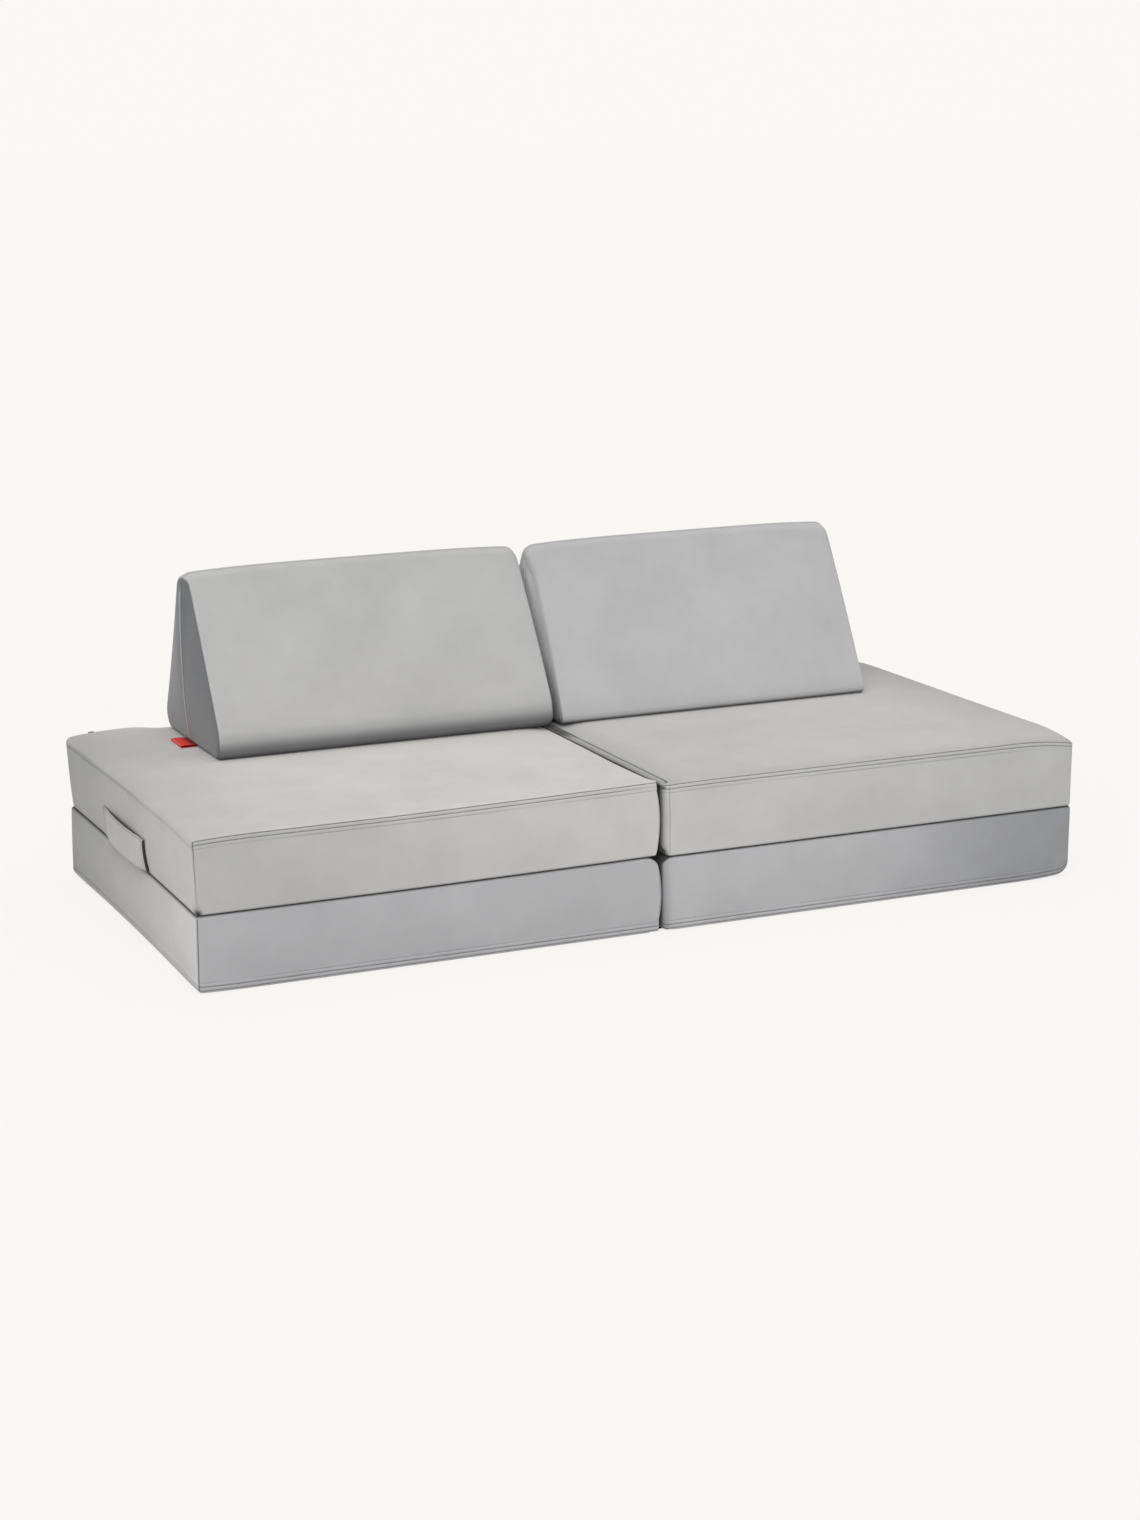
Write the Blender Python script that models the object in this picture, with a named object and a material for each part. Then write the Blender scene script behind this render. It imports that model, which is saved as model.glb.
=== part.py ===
"""Modular foam play sofa: two folding foam mattresses, one on the other, with two wedge cushions.

Units are metres and +Z is up. The origin is on the floor, under the fold line and midway
between front and back. X runs along the sofa, and the front faces -Y.

A mattress is two foam halves in sewn covers, joined by a cloth hinge along one edge of the
face that carries the double seam. The base lies with that face down and the seat with it up,
so the base folds bottom to bottom and the seat top to top.
"""
import math

import bmesh
import bpy
from mathutils import Euler, Vector

# Cloth and clearances
CLOTH = 0.002
FIT = 0.0003

# One mattress half, from the fold line to its outer end
HALF_LENGTH = 0.84
DEPTH = 0.84
THICKNESS = 0.134
FOLD_HALF_GAP = 0.003
CORNER_RADIUS = 0.018
SEAM_EDGE = 0.005
SOFT_EDGE = 0.022
FOAM_EDGE = 0.042

# How the sewn cover swells and draws in
CROWN = 0.006
CORNER_DIP = 0.009
END_SWELL = 0.008
SIDE_SWELL = 0.005
SWELL_START = 0.064

# Double seam round the edge of the seamed face
BAND_WIDTH = 0.016
BAND_RAISE = 0.001
BAND_STEP = 0.0012

# Cloth hinge: one leaf sewn to each half, meeting on the fold line
LEAF_WIDTH = 0.019
LEAF_THICKNESS = 0.0012

# Carrying handle on one end of each mattress
HANDLE_LENGTH = 0.285
HANDLE_WIDTH = 0.058
HANDLE_THICKNESS = 0.004
HANDLE_SEWN_LENGTH = 0.045
HANDLE_BOW = 0.018
HANDLE_FROM_SEAM = 0.1

# Wedge cushion
WEDGE_LENGTH = 0.656
WEDGE_DEPTH = 0.335
WEDGE_HEIGHT = 0.318
WEDGE_FOOT_RADIUS = 0.03
WEDGE_RIDGE_RADIUS = 0.02
WEDGE_END_EDGE = 0.008
WEDGE_TOP_CORNER = 0.032
WEDGE_FACE_SWELL = 0.006
WEDGE_END_SWELL = 0.003
WEDGE_GAP = 0.013
WEDGE_MEETING_X = 0.011
WEDGE_FROM_BACK = 0.015

# Label folded into the foot of the left wedge's end seam
LABEL_LENGTH = 0.033
LABEL_WIDTH = 0.07
LABEL_THICKNESS = 0.0016
LABEL_LIFT = 0.0012

# Zips
ZIP_SLOT = 0.029
ZIP_TAPE_THICKNESS = 0.0015
ZIP_COIL_WIDTH = 0.006
ZIP_COIL_HEIGHT = 0.002
ZIP_COIL_SHOULDER = 0.0008
ZIP_SLIDER_PARK = 0.03
WEDGE_ZIP_RISE = 0.018

# Zip slider, with its bail and pull
SLIDER_LENGTH = 0.012
SLIDER_WIDTH = 0.0098
SLIDER_PLATE = 0.0014
SLIDER_CLEARANCE = 0.0004
BAIL_LENGTH = 0.007
BAIL_WIDTH = 0.0018
BAIL_HEIGHT = 0.0036
BAIL_WALL = 0.0009
PULL_LENGTH = 0.03
PULL_WIDTH = 0.0075
PULL_THICKNESS = 0.0012
PULL_ARM = 0.0016
PULL_EYE = 0.0055

# Places of the nine grid columns across a half, as shares of the straight run between corners
COLUMN_SHARES = (-1.0, -0.86, -0.5, 0.0, 0.5, 0.86, 1.0)
# How much of the swell each of the nine columns takes
SWELL_SHARES = (0.0, 0.1, 0.5, 1.0, 1.0, 1.0, 0.5, 0.1, 0.0)
# How much of the crown each column takes, across the depth and away from the fold line
CROWN_DEPTH_SHARES = (0.0, 0.3, 0.85, 1.0, 1.0, 1.0, 0.85, 0.3, 0.0)
CROWN_LENGTH_SHARES = (0.0, 0.0, 0.8, 1.0, 1.0, 1.0, 0.85, 0.3, 0.0)
# How much of the corner dip each column takes, across the depth and away from the fold line
DIP_DEPTH_SHARES = (1.0, 0.6, 0.0, 0.0, 0.0, 0.0, 0.0, 0.6, 1.0)
DIP_LENGTH_SHARES = (0.0, 0.0, 0.0, 0.0, 0.0, 0.0, 0.0, 0.6, 1.0)
# Swell of the border's last rounded row
SOFT_ROW_SHARE = 0.6
# Wedge: middle of the sloping face, and how far that face swells at the zip slot's two edges
# and at its middle, in front and at the back
WEDGE_MIDDLE_SHARE = 0.55
FRONT_SWELL_SHARES = (0.3, 0.6, 1.0)
BACK_SWELL_SHARES = (0.0, 0.0, 1.0)
# Wedge sections along the sloping top, away from its rounded ends
WEDGE_SECTION_SHARES = (-0.5, 0.0, 0.5)

# Counts of facets and places in the grids
FOAM_EDGE_STEPS = 3
HANDLE_STEPS = 12
WEDGE_FOOT_STEPS = 3
WEDGE_RIDGE_STEPS = 2
ROWS_TO_ZIP = 3
COLUMNS_TO_ZIP = 2
LEAF_COLUMNS = 2
WEDGE_END_SECTIONS = 4
SWELL_POWER = 4
DROP_POWER = 3

# A rim vertex at a sharp corner steps back by no more than this share lets it
CORNER_LIMIT_SHARE = 0.25

# Shading: edges sharper than this stay crisp
SMOOTH_ANGLE = math.radians(50)

# Derived levels
SEAT_BOTTOM = THICKNESS + FIT
SEAT_SEAM_LEVEL = SEAT_BOTTOM + THICKNESS
SEAT_TOP = SEAT_SEAM_LEVEL + CROWN
WEDGE_BOTTOM = SEAT_TOP + FIT
WEDGE_MIDDLE_Y = DEPTH / 2 - WEDGE_FROM_BACK - WEDGE_DEPTH / 2
WEDGE_LEFT_X = WEDGE_MEETING_X - WEDGE_GAP / 2 - WEDGE_LENGTH / 2
WEDGE_RIGHT_X = WEDGE_MEETING_X + WEDGE_GAP / 2 + WEDGE_LENGTH / 2
LEAF_SEAT = LEAF_THICKNESS + FIT
LAST = len(SWELL_SHARES) - 1
SLOPE_ROW = WEDGE_FOOT_STEPS + 2
BOX_LENGTH = HALF_LENGTH - FOLD_HALF_GAP
ZIP_SLOT_START = SEAM_EDGE + BAND_WIDTH + BAND_STEP
SLIDER_TOP = ZIP_COIL_HEIGHT + SLIDER_CLEARANCE + SLIDER_PLATE
PULL_AXIS = SLIDER_TOP + (BAIL_HEIGHT - BAIL_WALL) / 2

# Colours from the photograph: base colour, roughness, metallic
VELVET_WARM = ((0.56, 0.56, 0.54), 0.9, 0.0)
VELVET_COOL = ((0.45, 0.46, 0.47), 0.9, 0.0)
FOAM = ((0.86, 0.80, 0.62), 0.95, 0.0)
ZIP_TAPE = ((0.42, 0.43, 0.44), 0.85, 0.0)
ZIP_METAL = ((0.55, 0.55, 0.56), 0.35, 1.0)
LABEL_RED = ((0.62, 0.03, 0.02), 0.8, 0.0)


def clear_objects():
    """Start from an empty scene."""
    for obj in list(bpy.data.objects):
        bpy.data.objects.remove(obj, do_unlink=True)


def make_material(name, look):
    """A Principled material of the given colour, roughness and metallic value."""
    colour, roughness, metallic = look
    material = bpy.data.materials.new(name)
    material.use_nodes = True
    shader = material.node_tree.nodes["Principled BSDF"]
    shader.inputs["Base Color"].default_value = (*colour, 1.0)
    shader.inputs["Roughness"].default_value = roughness
    shader.inputs["Metallic"].default_value = metallic
    return material


def make_pivot(name, location, parent=None, rotation=(0.0, 0.0, 0.0)):
    """An empty on a joint's axis, given in world coordinates."""
    pivot = bpy.data.objects.new(name, None)
    bpy.context.collection.objects.link(pivot)
    pivot.parent = parent
    base = parent.matrix_world.translation if parent else Vector()
    pivot.location = Vector(location) - base
    pivot.rotation_euler = Euler(rotation)
    bpy.context.view_layer.update()
    return pivot


def add_object(name, mesh, look, parent=None, location=(0.0, 0.0, 0.0)):
    """Link a mesh as a named object with its own material."""
    mesh.materials.clear()
    mesh.materials.append(make_material(name, look))
    obj = bpy.data.objects.new(name, mesh)
    bpy.context.collection.objects.link(obj)
    obj.parent = parent
    obj.location = location
    return obj


def mesh_from(name, points, faces, smooth_angle=SMOOTH_ANGLE):
    """A mesh with its faces turned outward and round parts shaded smooth."""
    mesh = bpy.data.meshes.new(name)
    surface = closed_surface(points, faces)
    surface.to_mesh(mesh)
    surface.free()
    mesh.shade_smooth()
    mesh.set_sharp_from_angle(angle=smooth_angle)
    return mesh


def relative(points, parent):
    """World points in the frame of an unrotated parent."""
    origin = parent.matrix_world.translation
    return [Vector(point) - origin for point in points]


def closed_surface(points, faces):
    """A bmesh of the given closed surface, its faces turned outward."""
    surface = bmesh.new()
    vertices = [surface.verts.new(point) for point in points]
    for face in faces:
        surface.faces.new([vertices[index] for index in face])
    bmesh.ops.recalc_face_normals(surface, faces=surface.faces)
    surface.verts.index_update()
    surface.faces.index_update()
    surface.normal_update()
    return surface


def retreat(surface, kept):
    """Step each vertex on the rim of the kept faces back into them by half the fit."""
    steps = {}
    for edge in surface.edges:
        inside = [face for face in edge.link_faces if face.index in kept]
        if len(inside) != 1:
            continue
        face = inside[0]
        along = (edge.verts[1].co - edge.verts[0].co).normalized()
        inward = face.normal.cross(along).normalized()
        if inward.dot(face.calc_center_median() - edge.verts[0].co) < 0:
            inward.negate()
        for vertex in edge.verts:
            steps.setdefault(vertex.index, []).append(inward)
    moves = {}
    for index, sides in steps.items():
        mean = sum(sides, Vector())
        mean /= len(sides)
        moves[index] = mean * (FIT / 2 / max(mean.length_squared, CORNER_LIMIT_SHARE))
    return moves


def shell(points, faces, kept, thickness=CLOTH):
    """Cloth of the given thickness over the kept faces of a closed surface, as points and faces."""
    surface = closed_surface(points, faces)
    kept = set(kept)
    moves = retreat(surface, kept)
    used = sorted({v.index for f in surface.faces if f.index in kept for v in f.verts})
    place = {index: number for number, index in enumerate(used)}
    count = len(used)
    surface.verts.ensure_lookup_table()
    outer = [surface.verts[i].co + moves.get(i, Vector()) for i in used]
    inner = [outer[place[i]] - surface.verts[i].normal * thickness for i in used]
    quads = []
    for face in surface.faces:
        if face.index not in kept:
            continue
        ring = [place[v.index] for v in face.verts]
        quads.append(ring)
        quads.append([count + number for number in reversed(ring)])
        for edge in face.edges:
            if sum(other.index in kept for other in edge.link_faces) == 1:
                a, b = (place[v.index] for v in edge.verts)
                quads.append([a, b, count + b, count + a])
    surface.free()
    return outer + inner, quads


def split_quads(faces, kinds):
    """Split four-sided faces along one diagonal, so that cloth and foam facet alike."""
    halves, half_kinds = [], []
    for face, kind in zip(faces, kinds):
        pieces = [face]
        if len(face) == 4:
            a, b, c, d = face
            pieces = [[a, b, c], [a, c, d]]
        halves += pieces
        half_kinds += [kind] * len(pieces)
    return halves, half_kinds


def inset_surface(points, faces, depth):
    """The closed surface moved inward along its normals."""
    surface = closed_surface(points, faces)
    moved = [vertex.co - vertex.normal * depth for vertex in surface.verts]
    surface.free()
    return moved


def columns(half_size):
    """Nine places across a side: both corners, both ends of the straight run, and between."""
    straight = half_size - CORNER_RADIUS
    return [-half_size, *(share * straight for share in COLUMN_SHARES), half_size]


def plan_point(i, j, inset):
    """A grid point in plan, about the middle of the half, on a rounded outline drawn in by inset."""
    half_u, half_v = BOX_LENGTH / 2, DEPTH / 2
    u, v = columns(half_u)[i], columns(half_v)[j]
    at_u, at_v = i in (0, LAST), j in (0, LAST)
    reach = CORNER_RADIUS - inset
    if at_u and at_v:
        diagonal = CORNER_RADIUS - reach * math.sqrt(0.5)
        return math.copysign(half_u - diagonal, u), math.copysign(half_v - diagonal, v)
    if at_u:
        u = math.copysign(half_u - inset, u)
    if at_v:
        v = math.copysign(half_v - inset, v)
    return u, v


def ring_indices():
    """Grid indices round the outline of a half."""
    ring = [(i, 0) for i in range(LAST)]
    ring += [(LAST, j) for j in range(LAST)]
    ring += [(i, LAST) for i in range(LAST, 0, -1)]
    ring += [(0, j) for j in range(LAST, 0, -1)]
    return ring


def border_rows():
    """Rows of the border from the seamed face: depth, inset, share of the swell, band raise."""
    round_depth = SOFT_EDGE * (1 - math.sqrt(0.5))
    band_end = SEAM_EDGE + BAND_WIDTH
    return (
        (0.0, SEAM_EDGE, 0.0, 0.0),
        (SEAM_EDGE, 0.0, 0.0, BAND_RAISE),
        (band_end, 0.0, 0.0, BAND_RAISE),
        (band_end + BAND_STEP, 0.0, 0.0, 0.0),
        (ZIP_SLOT_START + ZIP_SLOT, 0.0, 0.0, 0.0),
        (SWELL_START, 0.0, 1.0, 0.0),
        (THICKNESS - SOFT_EDGE, 0.0, 1.0, 0.0),
        (THICKNESS - round_depth, round_depth, SOFT_ROW_SHARE, 0.0),
        (THICKNESS, SOFT_EDGE, 0.0, 0.0),
    )


def half_surface(crown):
    """Closed outer surface of one half, as points, faces and a kind for each face.

    Points are (u, v, depth): u away from the fold line, v to the back, and depth below the
    seamed face. The kinds are panel, border and zip, where zip is the slot for the zip.
    """
    points, faces, kinds = [], [], []
    number = {}

    def add(key, u, v, depth):
        number[key] = len(points)
        points.append((u + BOX_LENGTH / 2 + FOLD_HALF_GAP, v, depth))

    ring = ring_indices()
    for row, (depth, inset, swell, raised) in enumerate(border_rows()):
        for i, j in ring:
            u, v = plan_point(i, j, inset)
            out_u = END_SWELL * SWELL_SHARES[j] * swell + raised
            out_v = SIDE_SWELL * SWELL_SHARES[i] * swell + raised
            if i == LAST:
                u += out_u
            if j in (0, LAST):
                v += math.copysign(out_v, v)
            drop = CORNER_DIP * DIP_LENGTH_SHARES[i] * DIP_DEPTH_SHARES[j] * (1 - depth / THICKNESS)
            step = LEAF_SEAT if row == 0 and i < LEAF_COLUMNS else 0.0
            add((row, i, j), u, v, depth + drop + step)
    last_row = len(border_rows()) - 1
    for row in range(last_row):
        in_slot = row == ROWS_TO_ZIP
        for here, there in zip(ring, ring[1:] + ring[:1]):
            faces.append([number[row, *here], number[row, *there],
                          number[row + 1, *there], number[row + 1, *here]])
            along_back = here[1] == there[1] == LAST
            in_columns = all(COLUMNS_TO_ZIP <= place[0] <= LAST - COLUMNS_TO_ZIP for place in (here, there))
            kinds.append("zip" if in_slot and along_back and in_columns else "border")
    for i in range(1, LAST):
        for j in range(1, LAST):
            u, v = plan_point(i, j, 0.0)
            rise = crown * CROWN_LENGTH_SHARES[i] * CROWN_DEPTH_SHARES[j]
            drop = CORNER_DIP * DIP_LENGTH_SHARES[i] * DIP_DEPTH_SHARES[j]
            step = LEAF_SEAT if i < LEAF_COLUMNS else 0.0
            add((0, i, j), u, v, drop + step - rise)
    for i in range(LAST):
        for j in range(LAST):
            faces.append([number[0, i, j], number[0, i + 1, j],
                          number[0, i + 1, j + 1], number[0, i, j + 1]])
            kinds.append("panel")
    faces.append([number[last_row, *key] for key in ring])
    kinds.append("border")
    return points, *split_quads(faces, kinds)


def lay_half(points, side, face_up):
    """Place points of a half: side is -1 for left and 1 for right, seamed face up or down."""
    if face_up:
        return [(side * u, v, SEAT_SEAM_LEVEL - depth) for u, v, depth in points]
    return [(side * u, v, depth) for u, v, depth in points]


def build_half(prefix, side, face_up, pivot):
    """Foam block, bordered cover, face panel and hinge leaf of one half."""
    points, faces, kinds = half_surface(CROWN if face_up else 0.0)
    points = lay_half(points, side, face_up)
    face_name = "top_panel" if face_up else "bottom_panel"
    for kind, piece, look in (
        ("border", "cover", VELVET_COOL),
        ("panel", face_name, VELVET_WARM),
    ):
        kept = [number for number, found in enumerate(kinds) if found == kind]
        cloth, quads = shell(points, faces, kept)
        name = f"{prefix}_{piece}"
        add_object(name, mesh_from(name, relative(cloth, pivot), quads), look, pivot)
    build_foam_block(f"{prefix}_foam", side, face_up, pivot)
    build_leaf(f"{prefix}_hinge_leaf", side, face_up, pivot)


def build_foam_block(name, side, face_up, pivot):
    """Foam block inside a half's cover, with its edges rounded off."""
    lining = CLOTH + FIT
    near = FOLD_HALF_GAP + lining
    length = HALF_LENGTH - lining - near
    depth = DEPTH - 2 * lining
    seamed_side = lining + LEAF_SEAT
    height = THICKNESS - seamed_side - lining
    low = SEAT_BOTTOM + lining if face_up else seamed_side
    block = bmesh.new()
    bmesh.ops.create_cube(block, size=1.0)
    bmesh.ops.scale(block, vec=(length, depth, height), verts=block.verts)
    mesh = bpy.data.meshes.new(name)
    block.to_mesh(mesh)
    block.free()
    mesh.shade_smooth()
    mesh.set_sharp_from_angle(angle=SMOOTH_ANGLE)
    centre = Vector((side * (near + length / 2), 0.0, low + height / 2))
    obj = add_object(name, mesh, FOAM, pivot, centre - pivot.matrix_world.translation)
    bevel = obj.modifiers.new("edges", "BEVEL")
    bevel.width = FOAM_EDGE
    bevel.segments = FOAM_EDGE_STEPS


def build_leaf(name, side, face_up, pivot):
    """Leaf of the cloth hinge, flush with the seamed face and reaching the fold line."""
    near, far = side * FIT / 2, side * LEAF_WIDTH
    half = DEPTH / 2 - CORNER_RADIUS
    low = SEAT_SEAM_LEVEL - LEAF_THICKNESS if face_up else 0.0
    points = [(x, y, z) for z in (low, low + LEAF_THICKNESS) for y in (-half, half) for x in (near, far)]
    add_object(name, mesh_from(name, relative(points, pivot), box_faces()), VELVET_COOL, pivot)


def box_faces():
    """Faces of a box whose corners run x fastest, then y, then z."""
    return [[0, 1, 3, 2], [4, 5, 7, 6], [0, 1, 5, 4], [2, 3, 7, 6], [0, 2, 6, 4], [1, 3, 7, 5]]


def prism(outline, low, high):
    """Points and faces of an outline of (x, y) extruded from low to high."""
    count = len(outline)
    points = [(x, y, low) for x, y in outline] + [(x, y, high) for x, y in outline]
    faces = [list(range(count)), list(range(count, 2 * count))]
    for here in range(count):
        there = (here + 1) % count
        faces.append([here, there, count + there, count + here])
    return points, faces


def build_handle(name, side, centre_z, pivot):
    """Wide cloth handle sewn flat at both ends and bowed off the end face between them."""
    face = HALF_LENGTH + END_SWELL + FIT
    half = HANDLE_LENGTH / 2
    open_half = half - HANDLE_SEWN_LENGTH
    inner = [(face, -half)]
    for number in range(HANDLE_STEPS + 1):
        share = number / HANDLE_STEPS
        lift = HANDLE_BOW * math.sin(math.pi * share) ** 2
        inner.append((face + lift, -open_half + share * 2 * open_half))
    inner.append((face, half))
    outline = inner + [(x + HANDLE_THICKNESS, y) for x, y in reversed(inner)]
    low = centre_z - HANDLE_WIDTH / 2
    points, faces = prism(outline, low, low + HANDLE_WIDTH)
    points = [(side * x, y, z) for x, y, z in points]
    add_object(name, mesh_from(name, relative(points, pivot), faces), VELVET_COOL, pivot)


def wedge_outline():
    """Half of the wedge's section from the middle of its base to its ridge.

    Each row is (y, z, normal y, normal z), with y negative to the front. The sloping face is
    the straight line that touches the foot's circle and the ridge's.
    """
    foot_y, foot_z = WEDGE_FOOT_RADIUS - WEDGE_DEPTH / 2, WEDGE_FOOT_RADIUS
    ridge_y, ridge_z = 0.0, WEDGE_HEIGHT - WEDGE_RIDGE_RADIUS
    between = math.hypot(ridge_y - foot_y, ridge_z - foot_z)
    line_angle = math.atan2(ridge_z - foot_z, ridge_y - foot_y)
    face_angle = line_angle + math.acos((WEDGE_FOOT_RADIUS - WEDGE_RIDGE_RADIUS) / between)

    def arc(y, z, radius, start, end, steps):
        rows = []
        for step in range(steps + 1):
            angle = start + (end - start) * step / steps
            turn_y, turn_z = math.cos(angle), math.sin(angle)
            rows.append((y + radius * turn_y, z + radius * turn_z, turn_y, turn_z))
        return rows

    down, up = 3 * math.pi / 2, math.pi / 2
    foot = arc(foot_y, foot_z, WEDGE_FOOT_RADIUS, down, face_angle, WEDGE_FOOT_STEPS)
    ridge = arc(ridge_y, ridge_z, WEDGE_RIDGE_RADIUS, face_angle, up, WEDGE_RIDGE_STEPS)
    (low_y, low_z, face_y, face_z), (high_y, high_z) = foot[-1], ridge[0][:2]
    run = math.hypot(high_y - low_y, high_z - low_z)
    slope = []
    for rise in (WEDGE_ZIP_RISE, WEDGE_ZIP_RISE + ZIP_SLOT, WEDGE_MIDDLE_SHARE * run):
        share = rise / run
        slope.append((low_y + (high_y - low_y) * share, low_z + (high_z - low_z) * share, face_y, face_z))
    return [(0.0, 0.0, 0.0, -1.0), *foot, *slope, *ridge]


def wedge_sections():
    """Sections along the wedge: x, inset of the outline and drop of the ridge."""
    half = WEDGE_LENGTH / 2
    diagonal = 1 - math.sqrt(0.5)

    def at(distance):
        edge = max(0.0, WEDGE_END_EDGE - distance)
        inset = WEDGE_END_EDGE - math.sqrt(WEDGE_END_EDGE ** 2 - edge ** 2)
        top = max(0.0, WEDGE_TOP_CORNER - distance)
        drop = WEDGE_TOP_CORNER - math.sqrt(WEDGE_TOP_CORNER ** 2 - top ** 2)
        return distance, inset, drop

    ends = [at(distance) for distance in (
        0.0,
        WEDGE_END_EDGE * diagonal,
        WEDGE_END_EDGE,
        WEDGE_TOP_CORNER / 2,
        WEDGE_TOP_CORNER,
    )]
    left = [(-half + distance, inset, drop) for distance, inset, drop in ends]
    middle = [(share * half, 0.0, 0.0) for share in WEDGE_SECTION_SHARES]
    right = [(half - distance, inset, drop) for distance, inset, drop in reversed(ends)]
    return left + middle + right


def wedge_surface():
    """Closed outer surface of a wedge about its middle, with a kind for each face.

    The kinds are front, back and zip. Front and back meet in a seam along the ridge, down the
    middle of both ends and along the middle of the base.
    """
    rows = wedge_outline()
    sections = wedge_sections()
    points, faces, kinds = [], [], []
    number = {}
    ridge = len(rows) - 1
    half = WEDGE_LENGTH / 2

    def add(key, x, y, z, drop):
        number[key] = len(points)
        points.append((x, y, z - drop * (max(z, 0.0) / WEDGE_HEIGHT) ** DROP_POWER))

    for place, (x, inset, drop) in enumerate(sections):
        for row, (y, z, normal_y, normal_z) in enumerate(rows):
            for side, shares in ((-1, FRONT_SWELL_SHARES), (1, BACK_SWELL_SHARES)):
                if row in (0, ridge) and side == 1:
                    number[place, row, side] = number[place, row, -1]
                    continue
                on_slope = SLOPE_ROW <= row < SLOPE_ROW + len(shares)
                share = shares[row - SLOPE_ROW] if on_slope else 0.0
                swell = WEDGE_FACE_SWELL * share * (1 - (x / half) ** SWELL_POWER)
                out = swell - inset
                add((place, row, side), x, -side * (y + normal_y * out), z + normal_z * out, drop)
    final = len(sections) - 1
    for place, outward in ((0, -1), (final, 1)):
        x = sections[place][0]
        for row in range(2, ridge):
            height = points[number[place, row, -1]][2]
            swell = WEDGE_END_SWELL * math.sin(math.pi * height / WEDGE_HEIGHT)
            add((place, row, 0), x + outward * swell, 0.0, height, 0.0)
        number[place, 1, 0] = number[place, 0, -1]
    for side, kind in ((-1, "front"), (1, "back")):
        for place in range(final):
            for row in range(ridge):
                faces.append([number[place, row, side], number[place + 1, row, side],
                              number[place + 1, row + 1, side], number[place, row + 1, side]])
                in_length = WEDGE_END_SECTIONS <= place < final - WEDGE_END_SECTIONS
                kinds.append("zip" if side == 1 and row == SLOPE_ROW and in_length else kind)
        for place in (0, final):
            for row in range(1, ridge - 1):
                faces.append([number[place, row, 0], number[place, row, side],
                              number[place, row + 1, side], number[place, row + 1, 0]])
                kinds.append(kind)
            faces.append([number[place, ridge - 1, 0], number[place, ridge - 1, side],
                          number[place, ridge, side]])
            kinds.append(kind)
    return points, *split_quads(faces, kinds)


def build_wedge(prefix, centre_x, parent):
    """Foam and the two cover panels of a wedge, on a pivot under its middle."""
    pivot = make_pivot(f"{prefix}_pivot", (centre_x, WEDGE_MIDDLE_Y, WEDGE_BOTTOM), parent)
    points, faces, kinds = wedge_surface()
    for kind in ("front", "back"):
        kept = [number for number, found in enumerate(kinds) if found == kind]
        cloth, quads = shell(points, faces, kept)
        name = f"{prefix}_{kind}_panel"
        add_object(name, mesh_from(name, cloth, quads), VELVET_COOL, pivot)
    name = f"{prefix}_foam"
    foam = inset_surface(points, faces, CLOTH + FIT)
    add_object(name, mesh_from(name, foam, faces), FOAM, pivot)
    build_wedge_zip(prefix, pivot)
    return pivot


def build_wedge_zip(prefix, pivot):
    """Zip low on the wedge's back face."""
    rows = wedge_outline()
    low_y, low_z, normal_y, normal_z = rows[SLOPE_ROW]
    high_y, high_z = rows[SLOPE_ROW + 1][:2]
    tilt = math.atan2(normal_z, -normal_y)
    place = pivot.matrix_world.translation + Vector((0.0, -(low_y + high_y) / 2, (low_z + high_z) / 2))
    slot = WEDGE_LENGTH - 2 * WEDGE_TOP_CORNER
    build_zip(prefix, place, -math.pi / 2 + tilt, slot, -1, pivot)


def build_half_zip(prefix, side, face_up, pivot):
    """Zip in the back border of a mattress half, beside its seamed face."""
    middle = ZIP_SLOT_START + ZIP_SLOT / 2
    level = SEAT_SEAM_LEVEL - middle if face_up else middle
    slot = 2 * COLUMN_SHARES[-2] * (BOX_LENGTH / 2 - CORNER_RADIUS)
    place = (side * (FOLD_HALF_GAP + BOX_LENGTH / 2), DEPTH / 2, level)
    build_zip(prefix, place, -math.pi / 2, slot, side, pivot)


def build_zip(prefix, place, tilt, slot, parked, parent):
    """Zip tape, slider and pull in the frame of a slot: X along it and Z out of the cloth."""
    frame = make_pivot(f"{prefix}_zip_frame", place, parent, (tilt, 0.0, 0.0))
    half_slot = ZIP_SLOT / 2 - FIT / 2
    half_coil = ZIP_COIL_WIDTH / 2
    shoulder = half_coil - ZIP_COIL_SHOULDER
    profile = [
        (-half_slot, -ZIP_TAPE_THICKNESS),
        (half_slot, -ZIP_TAPE_THICKNESS),
        (half_slot, 0.0),
        (half_coil, 0.0),
        (half_coil, ZIP_COIL_HEIGHT - ZIP_COIL_SHOULDER),
        (shoulder, ZIP_COIL_HEIGHT),
        (-shoulder, ZIP_COIL_HEIGHT),
        (-half_coil, ZIP_COIL_HEIGHT - ZIP_COIL_SHOULDER),
        (-half_coil, 0.0),
        (-half_slot, 0.0),
    ]
    reach = slot / 2 - FIT / 2
    points, faces = prism(profile, -reach, reach)
    tape = [(along, across, out) for across, out, along in points]
    add_object(f"{prefix}_zip", mesh_from(f"{prefix}_zip", tape, faces), ZIP_TAPE, frame)
    start = parked * (slot / 2 - ZIP_SLIDER_PARK)
    slider = add_object(f"{prefix}_zip_slider", slider_mesh(f"{prefix}_zip_slider"), ZIP_METAL,
                        frame, (start, 0.0, 0.0))
    add_object(f"{prefix}_zip_pull", pull_mesh(f"{prefix}_zip_pull", -parked), ZIP_METAL,
               slider, (0.0, 0.0, PULL_AXIS))


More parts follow.
